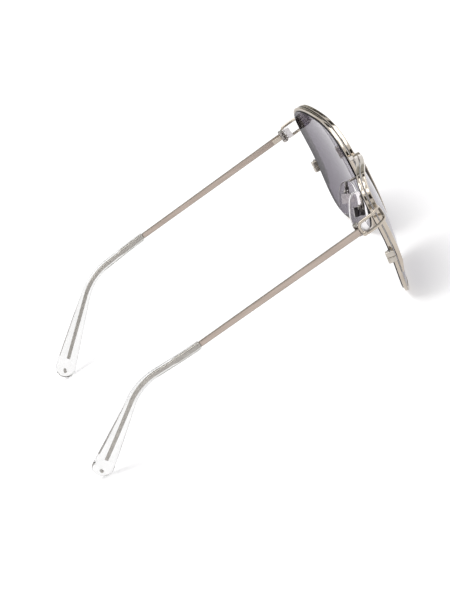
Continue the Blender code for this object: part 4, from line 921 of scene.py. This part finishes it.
def clear_acetate():
    """Clear acetate with a trace of flow lines inside and of ripple on its tumbled surface."""
    material = finish_of("clear_acetate", (0.97, 0.97, 0.96), 0.03, 0.0)
    shader = material.node_tree.nodes["Principled BSDF"]
    shader.inputs["Transmission Weight"].default_value = 1.0
    shader.inputs["IOR"].default_value = 1.48
    vary_colour(material, grain(material, 90, stretch=(3, 1, 3)), (0.79, 0.79, 0.785), (0.86, 0.86, 0.855))
    # A painted dark outline where the tip is seen edge on.
    darken_at_edge(material, (0.42, 0.42, 0.43))
    vary_roughness(material, grain(material, 300), 0.0, 0.03)
    raise_surface(material, grain(material, 260, detail=1.0), 0.000006, strength=0.6)
    return material


acetate = clear_acetate()
round_start = TEMPLE_RUN - PADDLE_END
front_quarter = np.linspace(0, math.pi / 2, TIP_FRONT_STATIONS)
front_run = METAL_LENGTH + TIP_FRONT_ROUNDING * (1 - np.cos(front_quarter))
end_quarter = np.linspace(0, math.pi / 2, TIP_END_STATIONS)[1:-1]
tip_run = np.concatenate([front_run, np.linspace(front_run[-1], round_start, TIP_STATIONS)[1:],
                          round_start + PADDLE_END * np.sin(end_quarter)])
tip_places = (METAL_LENGTH + TIP_FRONT_ROUNDING, BEND_START, bend_end, round_start)
tip_height = np.interp(tip_run, tip_places[1:], (TIP_FRONT_HEIGHT, TIP_BEND_HEIGHT, PADDLE_WIDTH))
tip_thick = np.interp(tip_run, tip_places[:2], (TIP_FRONT_THICKNESS, TIP_THICKNESS))
into_end = np.clip((tip_run - round_start) / PADDLE_END, 0, 1)
end_round = np.sqrt(1 - into_end ** 2)
into_front = np.clip(1 - (tip_run - METAL_LENGTH) / TIP_FRONT_ROUNDING, 0, 1)
front_inset = TIP_FRONT_ROUNDING * (1 - np.sqrt(1 - into_front ** 2)) / 2
unit_across, unit_upward = squared_circle(TIP_SECTION_POINTS, TIP_SQUARENESS)
tip_across = (tip_thick * np.sqrt(end_round) / 2 - front_inset)[:, None] * unit_across
tip_upward = (tip_height * end_round / 2 - front_inset)[:, None] * unit_upward
stud_run = TEMPLE_RUN - STUD_FROM_END
stud_place = (temple_x(stud_run), *side_view(stud_run)[1:])
stud_half = (TIP_THICKNESS - STUD_INSET) / 2
stud_face, stud_wall = STUD_RADIUS * STUD_FACE_SHARE, stud_half * STUD_WALL_SHARE
stud_profile = [(-stud_half, stud_face), (-stud_wall, STUD_RADIUS), (stud_wall, STUD_RADIUS),
                (stud_half, stud_face)]
stud = laid_along_x(turned(stud_profile)) + stud_place
for side_name in SIDES:
    arm = side_name + "_temple_arm"
    rings = along_temple(tip_run, tip_across, tip_upward, side_name)
    make_piece(side_name + "_clear_tip", [(rings, "pole")], acetate, side_name + "_temple_tip", arm,
               sharp=60.0)
    rings = hinge_to_world(stud, side_name)
    make_piece(side_name + "_stud", [(rings, "flat")], steel, side_name + "_tip_stud", arm, flatten=True)

# The nose pads
# A wire arm is soldered behind each rim and carries a small box. The ribbed metal plate of the pad has an eye
# that hangs in the box on a cross screw, and the pad itself is clear silicone pushed onto the plate.
PAD_TURN = math.radians(80)
PAD_FLARE = math.radians(5)
PAD_LEAN = math.radians(21)
PAD_DROP = 0.0013
PAD_HEIGHT = 0.0150
PAD_WIDTH = 0.0078
PAD_THICKNESS = 0.0022
PAD_SQUARENESS = 2.8
PAD_TAPER_SHARE = 0.16
PAD_BACK_RING_SHARES = (0.3, 0.7)
PAD_BACK_SHARE = 0.86
PAD_BACK_POWER = 0.8
PAD_FRONT_POWER = 0.62
PAD_FIRST_RING_SHARE = 0.98
PAD_WIDEST_SHARE = 0.30
PAD_CROWN_STATIONS = 32
PAD_POINTS = 96
PLATE_HEIGHT = 0.0042
PLATE_WIDTH = 0.0049
PLATE_THICKNESS = 0.0006
PLATE_STANDOFF = 0.0018
PLATE_DROP = 0.0020
RIB_COUNT = 3
RIB_WIDTH = 0.00035
RIB_ROUNDING = RIB_WIDTH / 3
RIB_HEIGHT = 0.0004
RIB_SPACING = 0.0006
RIB_MARGIN = 0.00015
PALE_OUTLINE_START = 0.55
PANEL_INNER = 0.00042
PANEL_MARGIN = 0.00012
PANEL_RISE = 0.00006
PANEL_ROUNDING = 0.00055
EYE_RADIUS = 0.0009
EYE_THICKNESS = 0.0005
EYE_STEM_SHARE = 0.7
EYE_PROFILE_SHARES = np.array([(-1, 0.6), (-1, 0.9), (-0.8, 1), (0.8, 1), (1, 0.9), (1, 0.6)])
BOX_WALL = 0.0004
BOX_LAP = BOX_WALL / 3
BOX_SIDE_GAP = 0.00015
BOX_HEIGHT = 0.0024
BOX_FRONT = 0.0010
BOX_DEPTH = 0.0030
PAD_SCREW_HEAD_RADIUS = 0.0007
PAD_SCREW_HEAD_HEIGHT = 0.0004
ARM_RADIUS = 0.00055
ARM_ROOT_ABOVE_MIDDLE = 0.0036
ARM_REACH = 0.0036
ARM_BULGE = 0.0022
ARM_DROP_SHARE = 0.45
ARM_BEHIND_SHARE = 0.6
ARM_CREST_SHARE = 0.7
ARM_INTO_RIM = WIRE_GAP * 2
ARM_INTO_BOX = WIRE_GAP * 1.5
ARM_UPRIGHT = (0.2, 0.1, 1.0)
ARM_DEGREE = 3
KNOT_MARGIN = 1e-9
ARM_STATIONS = 90
ARM_SIDES = 24


def pad_axes(side_name):
    """Directions of a pad's own frame: along its cross screw, out toward the nose, and up the pad."""
    return (about_x(PAD_LEAN) @ about_z(SIDES[side_name] * PAD_TURN) @ about_x(-PAD_FLARE)).T


def pad_to_world(points, side_name):
    """Points of a pad's own frame placed on the frame's cross screw."""
    return points @ pad_axes(side_name) + joints[side_name + "_pad_rock"]["pos_m"]


def paint_pale_outline(material, edge_share):
    """Less light passes where the surface turns away from the eye, so that a painted pale sheen shows on the
    outline.

    The transmitted share falls from 1 to the edge share as the layer weight rises from PALE_OUTLINE_START to
    1.
    """
    tree = material.node_tree
    turn = tree.nodes.new("ShaderNodeLayerWeight")
    passed = tree.nodes.new("ShaderNodeMapRange")
    passed.inputs["From Min"].default_value = PALE_OUTLINE_START
    passed.inputs["To Min"].default_value = 1.0
    passed.inputs["To Max"].default_value = edge_share
    tree.links.new(turn.outputs["Facing"], passed.inputs["Value"])
    tree.links.new(passed.outputs["Result"], tree.nodes["Principled BSDF"].inputs["Transmission Weight"])


def clear_silicone():
    """Soft clear silicone with a satin skin, a faint haze and a painted pale sheen on its outlines."""
    material = finish_of("clear_silicone", (0.95, 0.95, 0.96), 0.06, 0.0)
    material.node_tree.nodes["Principled BSDF"].inputs["IOR"].default_value = 1.24
    paint_pale_outline(material, 0.35)
    tones = (0.90, 0.88, 0.89), (0.96, 0.94, 0.95)
    return age(material, (200, 800, 700), tones, (0.02, 0.09), 0.000008)


def plate_steel():
    """Bare pressed steel, smooth on the pad's side."""
    material = finish_of("plate_steel", (0.46, 0.44, 0.45), 0.22, 1.0)
    tones = (0.38, 0.365, 0.37), (0.52, 0.50, 0.51)
    return age(material, (1000, 2200, 2600), tones, (0.15, 0.32), 0.000003)


def dark_plate_metal():
    """The same steel blackened on its two ribbed panels, where grease and wear leave it uneven."""
    material = finish_of("dark_plate_metal", (0.12, 0.11, 0.113), 0.3, 1.0)
    tones = (0.085, 0.077, 0.08), (0.17, 0.155, 0.16)
    return age(material, (1200, 2600, 3400), tones, (0.18, 0.42), 0.000005)


def arm_plating():
    """The frame's plating on the pad arms and boxes behind the rim, painted much darker and left duller."""
    material = finish_of("arm_plating", (0.14, 0.125, 0.115), 0.2, 1.0)
    tones = (0.09, 0.08, 0.074), (0.20, 0.18, 0.165)
    return age(material, (700, 2200, 2600), tones, (0.12, 0.3), 0.000003)


silicone, steel_plate = clear_silicone(), plate_steel()
dark_metal, dark_arm_plating = dark_plate_metal(), arm_plating()
pad_across, pad_upward = squared_circle(PAD_POINTS, PAD_SQUARENESS)
pad_z = PAD_HEIGHT / 2 * pad_upward
pad_x = PAD_WIDTH / 2 * pad_across * (1 - PAD_TAPER_SHARE * pad_z / (PAD_HEIGHT / 2))
pad_back = PLATE_STANDOFF + PLATE_THICKNESS + WIRE_GAP
crown = np.linspace(0, math.pi, PAD_CROWN_STATIONS + 2)[1:-1]
behind_widest = crown < math.pi / 2
crown_share = np.where(behind_widest, PAD_BACK_SHARE + (1 - PAD_BACK_SHARE) * np.sin(crown) ** PAD_BACK_POWER,
                       np.sin(crown) ** PAD_FRONT_POWER)
crown_share[0] *= PAD_FIRST_RING_SHARE
crown_reach = np.where(behind_widest, PAD_WIDEST_SHARE, 1 - PAD_WIDEST_SHARE)
crown_depth = PAD_WIDEST_SHARE - crown_reach * np.cos(crown)
pad_share = np.append(PAD_BACK_RING_SHARES, crown_share)[:, None]
pad_depth = np.append(np.zeros(len(PAD_BACK_RING_SHARES)), crown_depth)[:, None]
pad_rings = np.stack(np.broadcast_arrays(pad_share * pad_x, pad_back + PAD_THICKNESS * pad_depth,
                                         pad_share * pad_z - PAD_DROP), axis=-1)

plate_low, plate_high = -PLATE_HEIGHT / 2 - PLATE_DROP, PLATE_HEIGHT / 2 - PLATE_DROP
plate_middle = PLATE_STANDOFF + PLATE_THICKNESS / 2
eye_half, stem_half = EYE_THICKNESS / 2, EYE_RADIUS * EYE_STEM_SHARE
plate_parts = [
    soft_block((-PLATE_WIDTH / 2, PLATE_STANDOFF, plate_low),
               (PLATE_WIDTH / 2, PLATE_STANDOFF + PLATE_THICKNESS, plate_high), LEAF_ROUNDING),
    soft_block((-eye_half, 0, -stem_half), (eye_half, plate_middle, stem_half), RIB_ROUNDING),
    laid_along_x(turned(EYE_PROFILE_SHARES * (eye_half, EYE_RADIUS)))]
ribbed_parts = []
for direction in (-1, 1):
    panel_corner = (PLATE_WIDTH / 2 - PANEL_MARGIN, plate_high - PANEL_MARGIN, PANEL_RISE * 2)
    panel = soft_block((PANEL_INNER, plate_low + PANEL_MARGIN, 0), panel_corner, PANEL_ROUNDING)
    panel_y = PLATE_STANDOFF + PANEL_RISE - panel[..., 2]
    ribbed_parts.append(np.stack([panel[..., 0] * direction, panel_y, panel[..., 1]], axis=-1))
    for index in range(RIB_COUNT):
        rib_x = direction * (PLATE_WIDTH / 2 - RIB_MARGIN - RIB_WIDTH / 2 - index * RIB_SPACING)
        rib_low = (rib_x - RIB_WIDTH / 2, PLATE_STANDOFF - RIB_HEIGHT, plate_low + RIB_WIDTH)
        rib_high = (rib_x + RIB_WIDTH / 2, plate_middle, plate_high - RIB_WIDTH)
        ribbed_parts.append(soft_block(rib_low, rib_high, RIB_ROUNDING))

box_inner = eye_half + BOX_SIDE_GAP
box_outer, box_back, box_half = box_inner + BOX_WALL, BOX_FRONT - BOX_DEPTH, BOX_HEIGHT / 2
box_parts = [soft_block((-box_outer, box_back, -box_half), (box_outer, box_back + BOX_WALL, box_half),
                        LEAF_ROUNDING)]
box_parts += [soft_block((direction * box_inner, box_back + BOX_LAP, -box_half),
                         (direction * box_outer, BOX_FRONT, box_half), LEAF_ROUNDING)
              for direction in (-1, 1)]
cross_screw = laid_along_x(
    slotted_head(PAD_SCREW_HEAD_RADIUS, box_outer + SCREW_GAP / 2, PAD_SCREW_HEAD_HEIGHT))


def spline_shares(guide_count):
    """Cubic B-spline weights of each guide point along a curve that starts and ends on its outer guides.

    A share of one degree is two shares of the degree below, one rising and one falling over its knots.
    """
    last = guide_count - ARM_DEGREE
    knots = np.pad(np.arange(last + 1, dtype=float), ARM_DEGREE, mode="edge")
    t = np.linspace(0, last - KNOT_MARGIN, ARM_STATIONS)[:, None]
    share = ((t >= knots[:-1]) & (t < knots[1:])).astype(float)
    for degree in range(1, ARM_DEGREE + 1):
        left, right = knots[degree:-1] - knots[:-degree - 1], knots[degree + 1:] - knots[1:-degree]
        rise = np.where(left > 0, (t - knots[:-degree - 1]) / np.where(left > 0, left, 1), 0)
        fall = np.where(right > 0, (knots[degree + 1:] - t) / np.where(right > 0, right, 1), 0)
        share = rise * share[:, :-1] + fall * share[:, 1:]
    return share


def arm_rings(side_name):
    """A round wire on the smooth curve of the arm's guide points, from the rim over a crest to the box.

    The wire's section is spread over two directions square to the curve, the first of them also square to a
    fixed upright.
    """
    arc = np.array([arc_at_height(ARM_ROOT_ABOVE_MIDDLE, False)])
    root_section = np.array([[(RIM_OUTER - ARM_RADIUS, -RIM_SETBACK + WIRE_GAP)]])
    root = along_rim(arc, root_section, side_name)[0, 0]
    away = -pad_axes(side_name)[1]
    seat = joints[side_name + "_pad_rock"]["pos_m"] + away * (BOX_DEPTH - BOX_FRONT + WIRE_GAP)
    behind = seat + away * ARM_BULGE * ARM_BEHIND_SHARE
    out = root + np.array([0, ARM_REACH, 0])
    crest = out + np.array([SIDES[side_name] * ARM_BULGE * ARM_CREST_SHARE, ARM_RADIUS, 0])
    drop = (crest + behind) / 2 + away * ARM_BULGE * ARM_DROP_SHARE
    guides = np.stack([root, out, crest, drop, behind, seat])
    line = spline_shares(len(guides)) @ guides
    line[0] -= (0, ARM_INTO_RIM, 0)
    line[-1] -= away * ARM_INTO_BOX
    heading = np.gradient(line, axis=0)
    heading /= np.linalg.norm(heading, axis=1, keepdims=True)
    first = np.cross(heading, ARM_UPRIGHT)
    first /= np.linalg.norm(first, axis=1, keepdims=True)
    second = np.cross(heading, first)
    turn = around(ARM_SIDES)[:, None]
    return line[:, None] + ARM_RADIUS * (np.cos(turn) * first[:, None] + np.sin(turn) * second[:, None])


for side_name, side in SIDES.items():
    make_piece(side_name + "_pad_wire_arm", [(arm_rings(side_name), "flat")], dark_arm_plating,
               side_name + "_pad_arm")
    make_piece(side_name + "_pad_screw_box", [(pad_to_world(part, side_name), "flat") for part in box_parts],
               dark_arm_plating, side_name + "_pad_box", flatten=True)
    screw_rings = pad_to_world(cross_screw * (side, 1, 1), side_name)
    make_piece(side_name + "_cross_screw", [(screw_rings, "pole")], steel, side_name + "_pad_screw")
    plate_surfaces = [(pad_to_world(part, side_name), "flat", shade)
                      for shade, group in enumerate((plate_parts, ribbed_parts)) for part in group]
    make_piece(side_name + "_ribbed_plate", plate_surfaces, [steel_plate, dark_metal],
               side_name + "_pad_plate", side_name + "_pad", flatten=True)
    make_piece(side_name + "_clear_pad", [(pad_to_world(pad_rings, side_name), "pole")], silicone,
               side_name + "_nose_pad", side_name + "_pad")

# The studio
# A wide white sheet under the pair, soft lamps behind, above and at the side of it, and a white surround.
# Dark and grey cards stand where only reflections see them, as they do in a product studio.
FLOOR_SIZE = 6.0
BACK_LAMP_WIDTH = math.radians(40)
BACK_LAMP_PLACE = (0.15, 0.28, 1.0)
BACK_LAMP_STRENGTH = 1.4
TOP_LAMP_SIZE = (1.8, 0.46)
TOP_LAMP_PLACE = (-0.08, -0.51, 1.15)
TOP_LAMP_POWER = 4.6
SIDE_LAMP_SIZE = 0.4
SIDE_LAMP_PLACE = (-0.66, -0.05, 1.12)
SIDE_LAMP_POWER = 0.9
WORLD_STRENGTH = 0.53
CARD_DISTANCE = 2.0
CARD_CENTRE = (0.0, -0.07, 0.05)
CARD_BLUE_SHARE = 0.92
CAMERA_REACH = (0.01, 20.0)
FOCAL_PIXELS = 2447.96
IMAGE_HEIGHT_PIXELS = 600
SENSOR_MILLIMETRES = 36.0
AZIMUTH = math.radians(-90.03)
ELEVATION = math.radians(22.23)
ROLL = math.radians(30.27)
EYE = (-0.94217, 0.00005, 0.40186)


def seen_directly(tree):
    """One where a camera, glossy or transmission ray arrives, and zero for light that a surface scatters."""
    path = tree.nodes.new("ShaderNodeLightPath")
    total = path.outputs["Is Camera Ray"]
    for kind in ("Is Glossy Ray", "Is Transmission Ray"):
        larger = tree.nodes.new("ShaderNodeMath")
        larger.operation = "MAXIMUM"
        tree.links.new(total, larger.inputs[0])
        tree.links.new(path.outputs[kind], larger.inputs[1])
        total = larger.outputs["Value"]
    return total


def white_ground():
    """A white sheet that clips to white where nothing shades it, and that metal and glass see as white."""
    material = finish_of("white_ground", (0.86, 0.86, 0.86), 0.9, 0.0)
    tree = material.node_tree
    shader, output = tree.nodes["Principled BSDF"], tree.nodes["Material Output"]
    shader.inputs["Specular IOR Level"].default_value = 0.0
    glow = tree.nodes.new("ShaderNodeEmission")
    glow.inputs["Color"].default_value = (0.36, 0.355, 0.36, 1.0)
    total = tree.nodes.new("ShaderNodeAddShader")
    dimmed = tree.nodes.new("ShaderNodeMixShader")
    tree.links.new(shader.outputs["BSDF"], total.inputs[0])
    tree.links.new(glow.outputs["Emission"], total.inputs[1])
    tree.links.new(seen_directly(tree), dimmed.inputs["Fac"])
    tree.links.new(shader.outputs["BSDF"], dimmed.inputs[1])
    tree.links.new(total.outputs["Shader"], dimmed.inputs[2])
    tree.links.new(dimmed.outputs["Shader"], output.inputs["Surface"])
    return material


def flat_sheet(name, corners, material):
    """A stage sheet from its four corners."""
    mesh = bpy.data.meshes.new(name)
    mesh.from_pydata(corners, [], [(0, 1, 2, 3)])
    mesh.materials.append(material)
    sheet = bpy.data.objects.new(name, mesh)
    bpy.context.scene.collection.objects.link(sheet)
    return sheet


def studio_card(name, azimuths, elevations, level):
    """A grey sheet that only reflections and clear pieces see, between two azimuths and two elevations.

    Each corner is the cards' centre, near the top of the front, plus their distance times the unit vector
    of its two angles.
    """
    (a, b), (low, high) = np.radians(azimuths), np.radians(elevations)
    turn, rise = np.array([a, b, b, a]), np.array([low, low, high, high])
    away = np.stack([np.cos(rise) * np.cos(turn), np.cos(rise) * np.sin(turn), np.sin(rise)], axis=-1)
    material = finish_of(name, (level, level, level * CARD_BLUE_SHARE), 0.9, 0.0)
    material.node_tree.nodes["Principled BSDF"].inputs["Specular IOR Level"].default_value = 0.0
    card = flat_sheet(name, (CARD_CENTRE + CARD_DISTANCE * away).tolist(), material)
    card.visible_camera = card.visible_diffuse = card.visible_shadow = False


studio_card("far_grey_card", (-26, 12), (7, 26), 0.66)
studio_card("far_olive_card", (-26, 12), (26, 29), 0.30)
studio_card("far_dark_card", (-26, 12), (29, 32.2), 0.03)
studio_card("far_high_card", (-34, -10), (38, 50), 0.03)
studio_card("camera_side_card", (160, 182), (0.5, 13), 0.35)
studio_card("near_low_card", (193, 216), (2, 27), 0.03)
studio_card("near_high_card", (163, 182), (25, 42), 0.03)
ground_corners = np.array([(-1, -1, 0), (1, -1, 0), (1, 1, 0), (-1, 1, 0)]) * FLOOR_SIZE / 2
flat_sheet("ground", ground_corners.tolist(), white_ground())

world = bpy.data.worlds.new("white_surround")
bpy.context.scene.world = world
world.use_nodes = True
world_tree = world.node_tree
surround = world_tree.nodes["Background"]
surround_strength = world_tree.nodes.new("ShaderNodeMapRange")
surround_strength.inputs["To Min"].default_value = WORLD_STRENGTH
surround_strength.inputs["To Max"].default_value = 1.0
surround.inputs["Color"].default_value = (1.0, 1.0, 1.0, 1.0)
world_tree.links.new(seen_directly(world_tree), surround_strength.inputs["Value"])
world_tree.links.new(surround_strength.outputs["Result"], surround.inputs["Strength"])


def soft_lamp(name, shape, size, place, power):
    """A flat soft lamp of two widths that faces straight down and shows only in reflections."""
    data = bpy.data.lights.new(name, "AREA")
    data.shape = shape
    data.size, data.size_y = size
    data.energy = power
    data.use_shadow = False
    lamp = bpy.data.objects.new(name, data)
    bpy.context.scene.collection.objects.link(lamp)
    lamp.location = place
    lamp.visible_diffuse = False


soft_lamp("top_lamp", "RECTANGLE", TOP_LAMP_SIZE, TOP_LAMP_PLACE, TOP_LAMP_POWER)
soft_lamp("side_lamp", "DISK", (SIDE_LAMP_SIZE, SIDE_LAMP_SIZE), SIDE_LAMP_PLACE, SIDE_LAMP_POWER)

# The back lamp is so large and far off that it lights the whole sheet evenly.
back_light = bpy.data.lights.new("back_lamp", "SUN")
back_light.angle = BACK_LAMP_WIDTH
back_light.energy = BACK_LAMP_STRENGTH
back_lamp = bpy.data.objects.new("back_lamp", back_light)
bpy.context.scene.collection.objects.link(back_lamp)
back_lamp.location = BACK_LAMP_PLACE
back_lamp.rotation_euler = back_lamp.location.to_track_quat("Z", "Y").to_euler()

camera_data = bpy.data.cameras.new("camera")
camera = bpy.data.objects.new("camera", camera_data)
bpy.context.scene.collection.objects.link(camera)
camera_data.sensor_fit = "VERTICAL"
camera_data.sensor_height = SENSOR_MILLIMETRES
camera_data.lens = FOCAL_PIXELS / IMAGE_HEIGHT_PIXELS * SENSOR_MILLIMETRES
camera_data.clip_start, camera_data.clip_end = CAMERA_REACH
eye_back = about_z(AZIMUTH) @ (0, -math.cos(ELEVATION), math.sin(ELEVATION))
level_right = np.array([math.cos(AZIMUTH), math.sin(AZIMUTH), 0])
level_up = np.cross(eye_back, level_right)
camera_right = level_right * math.cos(ROLL) - level_up * math.sin(ROLL)
camera_up = level_right * math.sin(ROLL) + level_up * math.cos(ROLL)
camera_matrix = np.eye(4)
camera_matrix[:3, :3] = np.stack([camera_right, camera_up, eye_back], axis=1)
camera_matrix[:3, 3] = EYE
camera.matrix_world = camera_matrix.T
bpy.context.scene.camera = camera
bpy.context.scene.view_settings.view_transform = "Standard"
